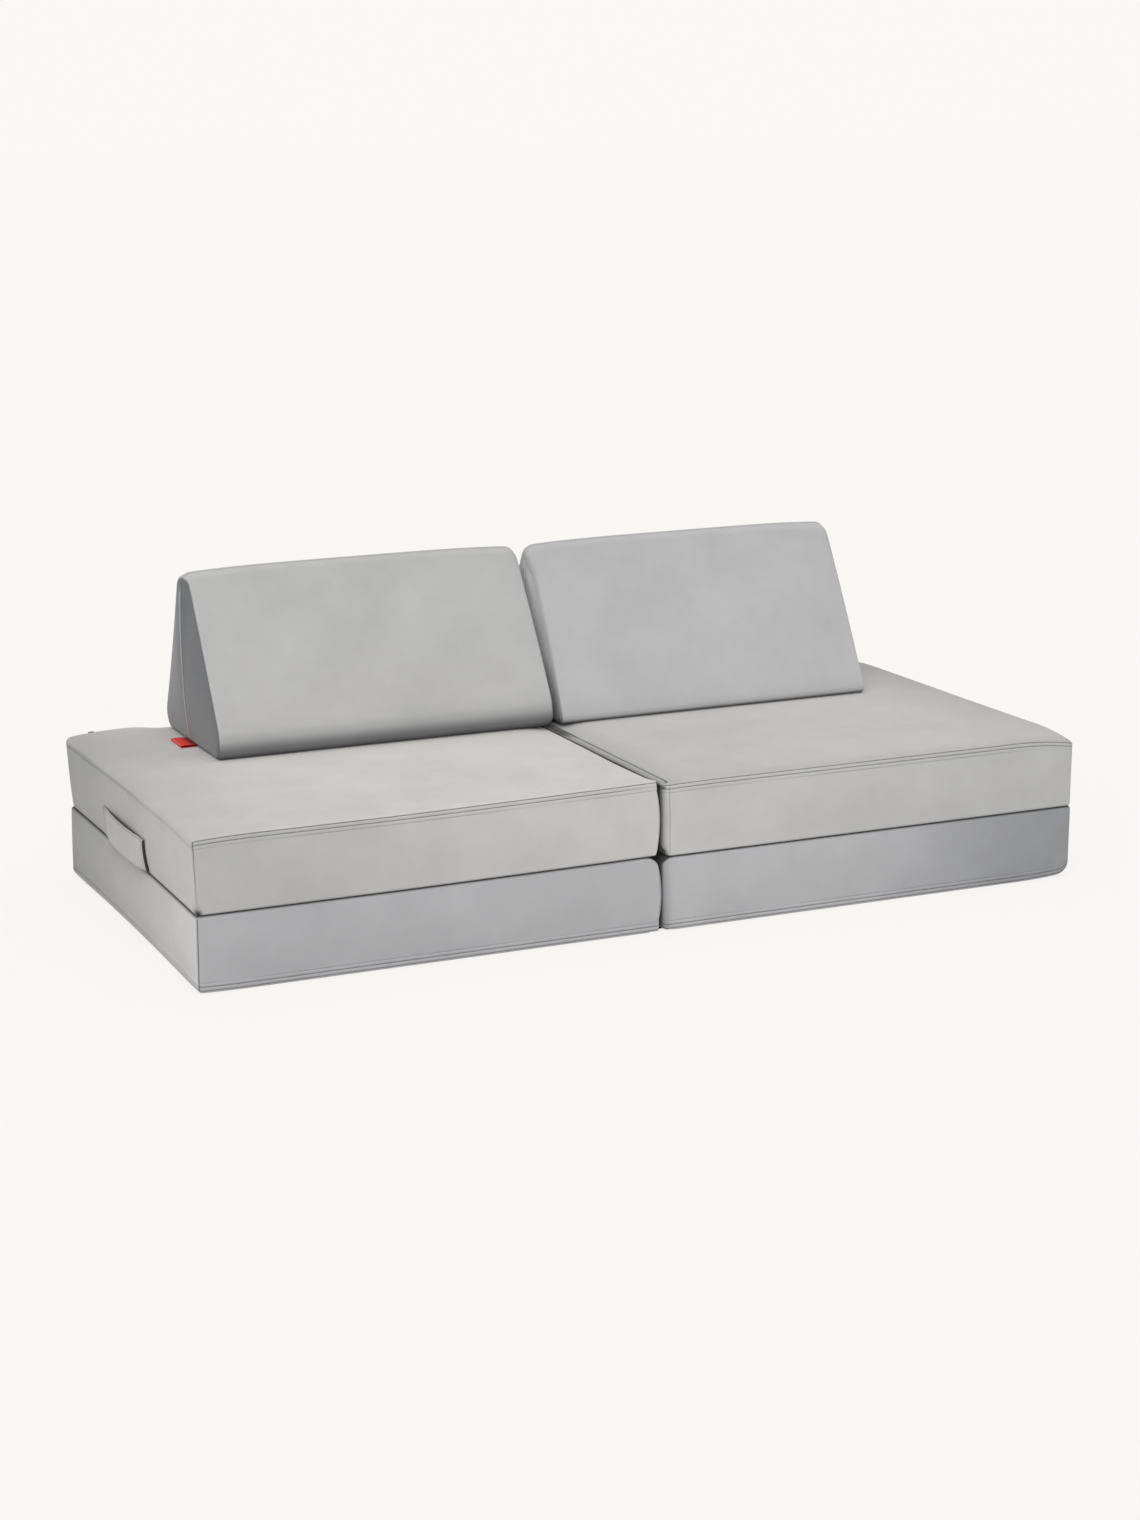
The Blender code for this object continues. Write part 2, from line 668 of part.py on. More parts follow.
def joined(name, parts):
    """One closed mesh from overlapping closed parts, by Boolean union."""
    objects = []
    for number, (points, faces) in enumerate(parts):
        mesh = mesh_from(f"{name}_{number}", points, faces)
        obj = bpy.data.objects.new(f"{name}_{number}", mesh)
        bpy.context.collection.objects.link(obj)
        objects.append(obj)
    for number, cutter in enumerate(objects[1:]):
        union = objects[0].modifiers.new(f"union_{number}", "BOOLEAN")
        union.operation = "UNION"
        union.solver = "EXACT"
        union.object = cutter
    depsgraph = bpy.context.evaluated_depsgraph_get()
    mesh = bpy.data.meshes.new_from_object(objects[0].evaluated_get(depsgraph))
    mesh.name = name
    for obj in objects:
        bpy.data.objects.remove(obj, do_unlink=True)
    return mesh


def slider_mesh(name):
    """Slider body straddling the coil, with the bail that holds the pull."""
    inner = ZIP_COIL_WIDTH / 2 + SLIDER_CLEARANCE
    outer = SLIDER_WIDTH / 2
    inner_top = SLIDER_TOP - SLIDER_PLATE
    channel = [
        (-outer, SLIDER_CLEARANCE), (-inner, SLIDER_CLEARANCE), (-inner, inner_top), (inner, inner_top),
        (inner, SLIDER_CLEARANCE), (outer, SLIDER_CLEARANCE), (outer, SLIDER_TOP), (-outer, SLIDER_TOP),
    ]
    points, faces = prism(channel, -SLIDER_LENGTH / 2, SLIDER_LENGTH / 2)
    body = [(along, across, out) for across, out, along in points], faces
    half = BAIL_LENGTH / 2
    root = SLIDER_TOP - SLIDER_PLATE / 2
    roof = SLIDER_TOP + BAIL_HEIGHT
    arch = [
        (-half, root), (-half + BAIL_WALL, root), (-half + BAIL_WALL, roof - BAIL_WALL),
        (half - BAIL_WALL, roof - BAIL_WALL), (half - BAIL_WALL, root), (half, root),
        (half, roof), (-half, roof),
    ]
    points, faces = prism(arch, -BAIL_WIDTH / 2, BAIL_WIDTH / 2)
    bail = [(along, -across, out) for along, out, across in points], faces
    return joined(name, [body, bail])


def pull_mesh(name, direction):
    """Flat pull lying along the zip, with an eye whose bar passes under the bail."""
    half = PULL_WIDTH / 2
    bar = PULL_THICKNESS / 2
    taper = half / 2
    tip = PULL_LENGTH
    outline = [
        (-bar, -half), (PULL_EYE + PULL_ARM, -half), (tip - taper, -taper), (tip, -taper / 2),
        (tip, taper / 2), (tip - taper, taper), (PULL_EYE + PULL_ARM, half), (-bar, half),
    ]
    eye_half = half - PULL_ARM
    eye = [(bar, -eye_half), (PULL_EYE, -eye_half), (PULL_EYE, eye_half), (bar, eye_half)]
    plate, plate_faces = prism([(direction * x, y) for x, y in outline], -bar, bar)
    cutter, cutter_faces = prism([(direction * x, y) for x, y in eye], -PULL_THICKNESS, PULL_THICKNESS)
    base = bpy.data.objects.new(name, mesh_from(f"{name}_plate", plate, plate_faces))
    hole = bpy.data.objects.new(f"{name}_eye", mesh_from(f"{name}_eye", cutter, cutter_faces))
    for obj in (base, hole):
        bpy.context.collection.objects.link(obj)
    cut = base.modifiers.new("eye", "BOOLEAN")
    cut.operation = "DIFFERENCE"
    cut.solver = "EXACT"
    cut.object = hole
    depsgraph = bpy.context.evaluated_depsgraph_get()
    mesh = bpy.data.meshes.new_from_object(base.evaluated_get(depsgraph))
    for obj in (base, hole):
        bpy.data.objects.remove(obj, do_unlink=True)
    return mesh


def build_label(parent):
    """Folded label sewn into the foot of the left wedge's end seam, lying on the seat."""
    below = WEDGE_END_EDGE - LABEL_LIFT - LABEL_THICKNESS
    tuck = WEDGE_END_EDGE - math.sqrt(WEDGE_END_EDGE ** 2 - below ** 2)
    near = -WEDGE_LENGTH / 2 + tuck - FIT
    far = near - LABEL_LENGTH
    half = LABEL_WIDTH / 2
    points = [(x, y, z) for z in (LABEL_LIFT, LABEL_LIFT + LABEL_THICKNESS)
              for y in (-half, half) for x in (far, near)]
    add_object("wedge_left_label", mesh_from("wedge_left_label", points, box_faces()), LABEL_RED, parent)


def build_mattress(prefix, face_up, left_pivot, right_pivot):
    """Both halves of a mattress, with their zips."""
    for half, side, pivot in (("left", -1, left_pivot), ("right", 1, right_pivot)):
        build_half(f"{prefix}_{half}", side, face_up, pivot)
        build_half_zip(f"{prefix}_{half}", side, face_up, pivot)


def main():
    clear_objects()
    base = make_pivot("base_pivot", (0.0, 0.0, 0.0))
    base_fold = make_pivot("base_fold_pivot", (0.0, 0.0, -FIT / 2), base)
    seat = make_pivot("seat_pivot", (0.0, 0.0, SEAT_BOTTOM), base)
    seat_fold = make_pivot("seat_fold_pivot", (0.0, 0.0, SEAT_SEAM_LEVEL), seat)
    build_mattress("base", False, base, base_fold)
    build_mattress("seat", True, seat, seat_fold)
    build_handle("seat_handle", -1, SEAT_SEAM_LEVEL - HANDLE_FROM_SEAM, seat)
    build_handle("base_handle", 1, HANDLE_FROM_SEAM, base_fold)
    wedge_left = build_wedge("wedge_left", WEDGE_LEFT_X, seat)
    build_label(wedge_left)
    build_wedge("wedge_right", WEDGE_RIGHT_X, seat_fold)


main()
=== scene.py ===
"""Modular foam play sofa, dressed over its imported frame.

Four mattress halves and two wedge cushions in sewn covers of light grey velvet, with their
stitching, cloth hinges, carrying handles, zips and label. Units are metres, +Z is up and the
front faces -Y.
"""
import math

import bmesh
import bpy
import numpy as np
from mathutils import Matrix, Vector
from mathutils.bvhtree import BVHTree


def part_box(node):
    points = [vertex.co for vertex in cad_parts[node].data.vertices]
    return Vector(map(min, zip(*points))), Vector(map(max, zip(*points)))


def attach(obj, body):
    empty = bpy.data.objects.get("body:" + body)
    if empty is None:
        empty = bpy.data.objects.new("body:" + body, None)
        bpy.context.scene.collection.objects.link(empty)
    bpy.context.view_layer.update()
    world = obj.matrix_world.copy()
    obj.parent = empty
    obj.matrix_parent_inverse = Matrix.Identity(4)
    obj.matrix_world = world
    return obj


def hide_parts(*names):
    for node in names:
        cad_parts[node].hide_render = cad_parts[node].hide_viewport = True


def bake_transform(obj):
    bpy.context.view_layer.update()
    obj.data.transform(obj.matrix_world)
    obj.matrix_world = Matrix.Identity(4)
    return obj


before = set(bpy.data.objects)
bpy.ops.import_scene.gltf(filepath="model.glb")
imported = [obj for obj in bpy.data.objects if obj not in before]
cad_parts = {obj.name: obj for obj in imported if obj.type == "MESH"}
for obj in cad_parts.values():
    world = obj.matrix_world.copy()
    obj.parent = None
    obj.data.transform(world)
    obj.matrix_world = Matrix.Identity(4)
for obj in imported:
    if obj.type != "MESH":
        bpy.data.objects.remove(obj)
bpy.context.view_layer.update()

# One mattress half, as the frame has it
HALF_LENGTH = 0.84
DEPTH = 0.84
THICKNESS = 0.134
FOLD_HALF_GAP = 0.003
SEAT_SEAM_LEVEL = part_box("seat_left_hinge_leaf")[1].z
CROWN = 0.0045
END_SWELL = 0.007
SIDE_SWELL = 0.004

# Grid of a cushion: places beside a corner, and the spacing between
CORNER_LINES = (0.0, 0.0016, 0.003, 0.0044, 0.0075, 0.0105, 0.0130, 0.0143, 0.0156, 0.0200, 0.0285)
SPACING = 0.0112

# Double seam, as (depth below the panel, outward) of each row of the border
SEAM_ROWS = (
    (0.0, -0.0050),
    (0.0003, -0.0030),
    (0.0010, -0.0012),
    (0.0021, -0.0002),
    (0.0031, -0.0002),
    (0.0039, -0.0019),
    (0.0047, -0.0003),
    (0.0072, 0.0006),
    (0.0100, 0.0),
    (0.0108, -0.0020),
    (0.0116, -0.0001),
    (0.0142, 0.0006),
    (0.0168, 0.0),
    (0.0176, -0.0012),
    (0.0185, 0.0),
    (0.0230, 0.0002),
)
# Painted shade in the creases of the double seam, by row
CREASE_SHADES = {5: 1.0, 9: 0.85, 13: 0.5}
# The one crease that shows on an end, as rows and the painted shade in each
END_CREASE_SHADES = {8: 0.3, 9: 1.0, 10: 0.3}
SIDE_LEVELS = (0.030, 0.040, 0.0496, 0.0526, 0.0560, 0.064, 0.0698, 0.0725, 0.080, 0.091, 0.102, 0.113, 0.122, 0.1295)
SIDE_ROWS = len(SIDE_LEVELS)
SOFT_ROWS = 4
# Painted shade of the cloth that rolls under beside the plain face, from the last row inwards
SOFT_ROW_SHADES = (1.0, 0.95, 0.6, 0.12)
SOFT_RADIUS = 0.0045
LEAF_STEP = 0.0015
LEAF_WIDTH = 0.019

# Wedge cushion, as the frame has it
WEDGE_LENGTH = 0.656
WEDGE_DEPTH = 0.335
WEDGE_HEIGHT = 0.318
WEDGE_RIDGE = 0.02
WEDGE_EDGE = 0.0055
WEDGE_SWELL = 0.006
WEDGE_CROWN = 0.006
# Height below which a wedge's front is painted darker towards its foot
FOOT_SHADE_LEVEL = 0.053
# Rows up a slope as shares of it, close together round the zip's slot on the back
SLOPE_SHARES = (0.03, 0.052, 0.0585, 0.065, 0.108, 0.150, 0.1565, 0.163, 0.187) + tuple(np.linspace(0.215, 1.0, 22))
SLOT_SHARES = (0.062, 0.153)
ZIP_DEPTH = 0.0019

# White of the room, the floor's share of real shade, and the light that falls on open floor
ROOM_WHITE = (0.955, 0.942, 0.922)
FLOOR_SHADE = 0.12
FLOOR_LIGHT = 1.0

# How much shorter the laid handle is than its room, in front
HANDLE_SHORT = 0.010
# Handle from its back end to its front: places, and how far it stands off or how thick it is
HANDLE_STAND = (
    (0.0, 0.05, 0.10, 0.22, 0.42, 0.62, 0.80, 0.90, 0.95, 1.0),
    (0.0006, 0.0004, 0.0012, 0.0046, 0.0072, 0.0070, 0.0050, 0.0022, 0.0012, 0.0016),
)
HANDLE_THICK = ((0.0, 0.07, 0.10, 0.88, 0.91, 1.0), (0.0042, 0.0042, 0.0028, 0.0028, 0.0042, 0.0042))

# Fold strips across: x, height, tone and painted shade
SEAT_STRIP = (
    (-0.0042, 0.0006, 0.5, 0.85), (-0.0030, 0.0010, 0.5, 0.79), (-0.0010, 0.0011, 0.5, 0.62),
    (0.0015, 0.0012, 0.5, 0.41), (0.0040, 0.0016, 0.5, 0.24), (0.0062, 0.0024, 0.5, 0.145),
    (0.0090, 0.0024, 0.5, 0.11), (0.0115, 0.0015, 0.5, 0.21), (0.0138, 0.0010, 0.5, 0.41),
    (0.0146, 0.0004, 0.5, 0.88), (0.0170, 0.0004, 0.5, 0.86), (0.0180, 0.0008, 0.5, 0.30),
    (0.0192, 0.0008, 0.5, 0.12),
)
BASE_STRIP = (
    (-0.0190, 0.0005, 0.5, 0.6), (-0.0178, 0.0012, 0.5, 0.0), (-0.0165, 0.0012, 0.5, 0.0),
    (-0.0156, 0.0006, 0.5, 0.7), (-0.0147, 0.0012, 0.5, 0.0), (-0.0060, 0.0012, 0.5, 0.0),
    (0.0, 0.0010, 0.5, 0.2), (0.0060, 0.0012, 0.5, 0.0), (0.0147, 0.0012, 0.5, 0.0),
    (0.0156, 0.0006, 0.5, 0.7), (0.0165, 0.0012, 0.5, 0.0), (0.0178, 0.0012, 0.5, 0.0),
    (0.0190, 0.0005, 0.5, 0.6),
)

# Simulation
PRESSURE = 4.0
LAST_FRAME = 20

# Pile of the velvet, in linear colour
PILE_LIGHT = (0.70, 0.695, 0.675, 1.0)
PILE_DARK = (0.145, 0.15, 0.156, 1.0)


def make_camera():
    """Camera at the photograph's viewpoint."""
    azimuth, elevation, roll = (math.radians(a) for a in (23.2142, 13.1217, -0.7951))
    place = Vector((-2.0878, -4.8894, 1.4619))
    forward = Vector((
        math.sin(azimuth) * math.cos(elevation),
        math.cos(azimuth) * math.cos(elevation),
        -math.sin(elevation),
    ))
    right = Vector((math.cos(azimuth), -math.sin(azimuth), 0.0))
    up = right.cross(forward)
    turned_right = right * math.cos(roll) + up * math.sin(roll)
    turned_up = up * math.cos(roll) - right * math.sin(roll)
    matrix = Matrix((turned_right, turned_up, -forward)).transposed().to_4x4()
    matrix.translation = place
    data = bpy.data.cameras.new("photo_camera")
    data.sensor_fit = "HORIZONTAL"
    data.sensor_width = 36.0
    data.lens = 92.09
    camera = bpy.data.objects.new("photo_camera", data)
    bpy.context.collection.objects.link(camera)
    camera.matrix_world = matrix
    bpy.context.scene.camera = camera
    bpy.context.scene.view_settings.view_transform = "Standard"


def smooth(t):
    """Smooth step of a number or array from 0 to 1."""
    t = np.clip(t, 0.0, 1.0)
    return t * t * (3 - 2 * t)


def new_object(name, points, faces):
    """A linked object of a closed mesh with its faces turned outward and shaded smooth."""
    mesh = bpy.data.meshes.new(name)
    mesh.from_pydata([tuple(p) for p in points], [], faces)
    surface = bmesh.new()
    surface.from_mesh(mesh)
    bmesh.ops.recalc_face_normals(surface, faces=surface.faces)
    surface.to_mesh(mesh)
    surface.free()
    mesh.shade_smooth()
    obj = bpy.data.objects.new(name, mesh)
    bpy.context.collection.objects.link(obj)
    return obj


def places(obj):
    """Vertex places of a mesh as an array."""
    co = np.empty(len(obj.data.vertices) * 3)
    obj.data.vertices.foreach_get("co", co)
    return co.reshape(-1, 3)


def set_places(obj, points):
    obj.data.vertices.foreach_set("co", np.asarray(points, dtype=np.float64).ravel())
    obj.data.update()


def apply_modifiers(obj):
    """Turn the evaluated object into its plain mesh."""
    depsgraph = bpy.context.evaluated_depsgraph_get()
    mesh = bpy.data.meshes.new_from_object(obj.evaluated_get(depsgraph))
    old = obj.data
    obj.modifiers.clear()
    obj.data = mesh
    bpy.data.meshes.remove(old)
    mesh.name = obj.name


def subdivide(obj):
    """One level of subdivision, kept in the mesh."""
    modifier = obj.modifiers.new("subdivision", "SUBSURF")
    modifier.levels = 1
    modifier.render_levels = 1
    apply_modifiers(obj)
    obj.data.shade_smooth()


# Mattress halves


def side_lines(length, nominal):
    """Grid places across a side: close together beside its corners, evenly spaced between."""
    ends = np.array(CORNER_LINES)
    count = round((nominal - 2 * CORNER_LINES[-1]) / SPACING)
    between = np.linspace(ends[-1], length - ends[-1], count + 1)[1:-1]
    return np.concatenate([ends, between, length - ends[::-1]])


def plan(inset, radii):
    """Grid in plan of a half drawn in by inset, with corners of the given radii rounded off.

    The radii are for the fold and the end corner in front, then for the fold and the end
    corner at the back. Returns u away from the fold line, v to the back, and the outward
    direction in plan.
    """
    low_u, high_u = FOLD_HALF_GAP + inset, HALF_LENGTH - inset
    low_v, high_v = -DEPTH / 2 + inset, DEPTH / 2 - inset
    u_lines = low_u + side_lines(high_u - low_u, HALF_LENGTH - FOLD_HALF_GAP)
    v_lines = low_v + side_lines(high_v - low_v, DEPTH)
    u, v = np.meshgrid(u_lines, v_lines, indexing="ij")
    out_u, out_v = np.zeros_like(u), np.zeros_like(v)
    out_u[0, :], out_u[-1, :] = -1.0, 1.0
    out_v[:, 0], out_v[:, -1] = -1.0, 1.0
    corners = ((low_u, low_v, 1, 1), (high_u, low_v, -1, 1), (low_u, high_v, 1, -1), (high_u, high_v, -1, -1))
    for radius, (corner_u, corner_v, sign_u, sign_v) in zip(radii, corners):
        radius = max(radius - inset, 0.0015)
        a = 1 - (u - corner_u) * sign_u / radius
        b = 1 - (v - corner_v) * sign_v / radius
        inside = (a > 0) & (b > 0)
        new_a = a * np.sqrt(np.clip(1 - b * b / 2, 0, 1))
        new_b = b * np.sqrt(np.clip(1 - a * a / 2, 0, 1))
        u = np.where(inside, corner_u + sign_u * radius * (1 - new_a), u)
        v = np.where(inside, corner_v + sign_v * radius * (1 - new_b), v)
        out_u = np.where(inside, -sign_u * new_a, out_u)
        out_v = np.where(inside, -sign_v * new_b, out_v)
    length = np.maximum(np.hypot(out_u, out_v), 1e-9)
    return u, v, out_u / length, out_v / length


def grid_ring(count_u, count_v):
    """Grid indices round the outline of a half."""
    ring = [(i, 0) for i in range(count_u - 1)]
    ring += [(count_u - 1, j) for j in range(count_v - 1)]
    ring += [(i, count_v - 1) for i in range(count_u - 1, 0, -1)]
    ring += [(0, j) for j in range(count_v - 1, 0, -1)]
    return ring


def rolled(distance, radius):
    """How far an edge of the given radius has dropped at a distance from its side."""
    if radius <= 0:
        return np.zeros_like(distance)
    within = np.clip(radius - distance, 0.0, radius)
    return radius - np.sqrt(radius * radius - within * within)


def shape_half(u, v, depth, row_swell, out_u, out_v, look):
    """Swell, crown, lean and corner dips of a half, added to plan places and depths."""
    from_fold, from_end = u - FOLD_HALF_GAP, HALF_LENGTH - u
    from_front, from_back = v + DEPTH / 2, DEPTH / 2 - v
    on_face = np.abs(depth) < 1e-7
    share = np.clip(depth / THICKNESS, 0, 1)
    upper, lower = (1 - share) ** 1.5, share ** 1.5
    nearest = np.minimum(np.minimum(from_fold, from_end), np.minimum(from_front, from_back))
    crown = look["crown"] * (1 - np.clip(1 - nearest / 0.075, 0, 1) ** 2.6) * on_face
    crown *= smooth((from_fold - look["strip"]) / 0.04)
    dip = np.zeros_like(u)
    corners = ((from_fold, from_front), (from_end, from_front), (from_fold, from_back), (from_end, from_back))
    for amount, (across, along) in zip(look["dips"], corners):
        reach = look["dip_reach"]
        dip += amount * np.clip(1 - across / reach, 0, 1) ** 2 * np.clip(1 - along / reach, 0, 1) ** 2
    fold_top, end_top, fold_low, end_low = look["rolls"]
    dip += rolled(from_fold, fold_top) + rolled(from_end, end_top)
    rise = rolled(from_fold, fold_low) + rolled(from_end, end_low)
    puffed = look["back_rise"] * smooth((0.186 - from_end) / 0.07) * smooth((0.25 - from_back) / 0.25)
    near_fold = np.clip(1 - from_fold / 0.5, 0, 1) ** 1.3
    to_front = 0.75 * np.clip(1 - from_front / 0.05, 0, 1) ** 1.5 + 0.25 * smooth(1.1 - from_front / 0.2)
    near_fold = near_fold * (to_front - 0.15 * smooth(from_front / 0.2) * smooth(from_back / 0.4))
    upper_rise, lower_rise = look["fold_rise"]
    new_depth = depth + (dip - puffed) * upper - rise * lower - crown
    new_depth = new_depth + near_fold * (upper_rise * (1 - share) + lower_rise * share)
    along_v = 1 - (2 * v / DEPTH) ** 4
    middle = (u - FOLD_HALF_GAP) / (HALF_LENGTH - FOLD_HALF_GAP) * 2 - 1
    along_u = 1 - middle ** 4
    fold_share = look["fold_swell"] * (0.45 + 0.55 * along_v)
    fold_share = fold_share + look["front_bulge"] * np.clip(1 - from_front / 0.03, 0, 1) ** 2
    end_share = np.where(out_u > 0, look["end_swell"] * along_v, fold_share)
    push = row_swell * (np.abs(out_u) * end_share + np.abs(out_v) * SIDE_SWELL * along_u)
    (front_top, front_low), (back_top, back_low) = look["lean"]
    back = np.clip(from_front / DEPTH, 0, 1)
    front_lean = front_top + (front_low - front_top) * share
    back_lean = back_top + (back_low - back_top) * share
    near_end = np.clip(1 - from_end / 0.2, 0, 1) ** 2
    near_back = np.where(back > 0.5, (2 * back - 1) ** 2, 0.0)
    near_front = np.where(back > 0.5, 0.0, (1 - 2 * back) ** 2)
    lean = near_end * (front_lean * near_front + back_lean * near_back)
    draw_top, draw_low = look["fold_draw"]
    drawn = (draw_top * (1 - share) ** 3 + draw_low * share ** 3) * np.clip(1 - from_fold / 0.04, 0, 1)
    lean = lean + drawn * (1 - smooth(from_front / 0.4))
    return u + out_u * push + lean, v + out_v * push, new_depth


def half_grid(look):
    """Places (u, v, depth), faces, rows, panels and painted shades of a closed half.

    A vertex's row is its row of the border, and the face grids are -1 and -2. The panel is
    0 for the seamed face, 1 front, 2 end, 3 back, 4 fold side and 5 plain face. A painted
    shade is from 0 to 1, how dark the shade painted there is.
    """
    points, faces, rows, panels, painted_shades = [], [], [], [], []
    number = {}
    radii = look["corners"]
    u, v, out_u, out_v = plan(0.0, radii)
    ring = grid_ring(*u.shape)
    ring_i = np.array([i for i, j in ring])
    ring_j = np.array([j for i, j in ring])
    last_i, last_j = u.shape[0] - 1, u.shape[1] - 1
    grooves = {column % (last_i + 1): (depth, fade) for column, depth, fade in look["grooves"]}

    def add(key, place, row, panel, painted_shade):
        number[key] = len(points)
        points.append(place)
        rows.append(row)
        panels.append(panel)
        painted_shades.append(painted_shade)

    seam_end = SEAM_ROWS[-1][0]
    side_end = THICKNESS - SOFT_RADIUS
    levels = [(depth, out, 0.0) for depth, out in SEAM_ROWS]
    for depth in SIDE_LEVELS:
        share = (depth - seam_end) / (side_end - seam_end)
        swell = math.sin(math.pi * (0.08 + 0.86 * share)) ** 0.8
        levels.append((depth, 0.0, max(0.0, swell - 0.2)))
    for step in range(1, SOFT_ROWS + 1):
        angle = math.pi / 2 * step / SOFT_ROWS
        inset = SOFT_RADIUS * (1 - math.cos(angle))
        levels.append((side_end + SOFT_RADIUS * math.sin(angle), -inset, 0.0))
    for row, (depth, out, swell) in enumerate(levels):
        banded = 4 < row < len(SEAM_ROWS)
        level_u, level_v, dir_u, dir_v = plan(0.0 if banded else -out, radii)
        level_u, level_v = level_u[ring_i, ring_j], level_v[ring_i, ring_j]
        dir_u, dir_v = dir_u[ring_i, ring_j], dir_v[ring_i, ring_j]
        on_end = np.clip(dir_u, 0, 1) ** 2
        band = np.ones(len(ring))
        if banded:
            wave = 0.6 * np.sin(13 * level_v + 0.7) + 0.5 * np.sin(31 * level_v + 2.0)
            kept = 0.8 + 0.2 * np.sin(9 * level_v) if row in END_CREASE_SHADES else 0.0
            band = 1 - on_end * (1 - kept)
            depth = depth - on_end * (0.0022 + 0.0014 * wave) * {5: 0.0, 6: 0.1, 7: 0.55}.get(row, 1.0)
            along = level_u * 1.0
            if row in range(12, 15):
                band = band * (0.62 + 0.38 * np.sin(17 * along + 1.1) * np.sin(6.3 * along))
            if look["lip"] and row in range(8, 11):
                band = band * smooth((level_u - FOLD_HALF_GAP) / look["lip"])
        push = out * band if banded else np.zeros(len(ring))
        flat = np.full(len(ring), depth)
        # Painted shade in the creases of the seam, along the end's one crease, and where the cloth rolls under
        painted_shade = np.full(len(ring), CREASE_SHADES.get(row, 0.0)) * band
        wavering = look["end_crease_shade"] * (0.72 + 0.28 * np.sin(7 * level_v + 0.4))
        painted_shade = painted_shade * (1 - on_end) + on_end * END_CREASE_SHADES.get(row, 0.0) * band * wavering
        if len(levels) - row <= len(SOFT_ROW_SHADES):
            painted_shade = np.maximum(painted_shade, SOFT_ROW_SHADES[len(levels) - 1 - row])
        # Painted shade beside the fold, on the fold side and, low down, under the fold's corner
        if row > 3:
            width, strength = look["fold_shade"]
            down = float(np.max(flat)) / THICKNESS
            down = down if look["crown"] else 1 - down
            beside = np.clip(1 - (level_u - FOLD_HALF_GAP) / width, 0, 1) ** 1.3
            painted_shade = np.maximum(painted_shade, strength * (0.55 + 0.45 * down) * beside)
            painted_shade = np.maximum(painted_shade, 0.9 * np.clip(-dir_u, 0, 1) ** 3)
            under = look["under_fold_shade"] * float(smooth((down - 0.88) / 0.07))
            painted_shade = np.maximum(painted_shade, under * np.clip(1.6 - (level_u - FOLD_HALF_GAP) / 0.009, 0, 1))
        # A groove: the border drawn in at a column, with painted shade in it
        if row > 3:
            low_share = min(1.0, depth[0] / THICKNESS if banded else depth / THICKNESS)
            for column, (groove, fade) in grooves.items():
                side = (ring_j == 0) & (ring_i == column)
                beside = (ring_j == 0) & (np.abs(ring_i - column) == 1)
                strength = (1 - fade * low_share) * (1.0 if row < len(levels) - SOFT_ROWS else 0.3)
                level_v = level_v + side * groove * strength - beside * 0.0004
                painted_shade = np.where(side & (row > 4), np.maximum(painted_shade, look["groove_shade"] * strength), painted_shade)
        # A pinched corner, with painted shade in the pinch
        pinch = look["pinch"]
        if pinch:
            near = np.clip(1 - (HALF_LENGTH - level_u) / 0.014, 0, 1) * np.clip(1 - (level_v + DEPTH / 2) / 0.014, 0, 1)
            low = smooth((np.max(flat) / THICKNESS - 0.88) / 0.1)
            level_u = level_u - pinch * near * low
            level_v = level_v + pinch * near * low
            painted_shade = np.maximum(painted_shade, np.minimum(1.0, 1.4 * near) * low)
        level_u, level_v, flat = shape_half(
            level_u + dir_u * push, level_v + dir_v * push, flat, swell, dir_u, dir_v, look)
        for k, (i, j) in enumerate(ring):
            if abs(dir_v[k]) >= abs(dir_u[k]):
                panel = 1 if dir_v[k] < 0 else 3
            else:
                panel = 2 if dir_u[k] > 0 else 4
            add((row, i, j), (level_u[k], level_v[k], flat[k]), row, 0 if row < 4 else panel, painted_shade[k])
    last_row = len(levels) - 1
    for row in range(last_row):
        for here, there in zip(ring, ring[1:] + ring[:1]):
            faces.append((number[row, *here], number[row, *there],
                          number[row + 1, *there], number[row + 1, *here]))
    for face_row, depth, inset, panel in ((0, 0.0, -SEAM_ROWS[0][1], 0), (last_row, THICKNESS, SOFT_RADIUS, 5)):
        face_u, face_v, dir_u, dir_v = plan(inset, radii)
        flat = np.full(face_u.shape, depth)
        zero = np.zeros_like(face_u)
        face_u, face_v, flat = shape_half(face_u, face_v, flat, 0.0, zero, zero, look)
        for i in range(1, last_i):
            for j in range(1, last_j):
                # Painted shade on the plain face near its edges and beside the fold
                beside = (min(i, last_i - i, j, last_j - j) < 3 or i < 10) and panel == 5
                add((face_row, i, j), (face_u[i, j], face_v[i, j], flat[i, j]),
                    -1 - min(face_row, 1), panel, 0.9 if beside else 0.0)
        for i in range(last_i):
            for j in range(last_j):
                faces.append((number[face_row, i, j], number[face_row, i + 1, j],
                              number[face_row, i + 1, j + 1], number[face_row, i, j + 1]))
    return np.array(points), faces, np.array(rows), np.array(panels), np.array(painted_shades), number, ring


def leaf_recess(points, rows, width):
    """Deepen the seamed face beside the fold by the thickness of the hinge strip."""
    beside = (points[:, 0] < width + 0.0025) & ((rows < 3) & (rows >= -1))
    points[beside, 2] += LEAF_STEP
    return points


def zip_recess(points, rows, level, slot, wall):
    """Draw the back border in behind the zip, to the tape's own depth."""
    low, high = slot
    reach = smooth((np.minimum(points[:, 0] - low.x, high.x - points[:, 0]) + 0.004) / 0.004)
    height = smooth((np.minimum(level - low.z, high.z - level) + 0.0028) / 0.0016)
    inside = reach * height * (rows >= 4) * (points[:, 1] > DEPTH / 2 - 0.02)
    points[:, 1] = points[:, 1] + inside * np.minimum(wall - points[:, 1], 0.0)
    return inside


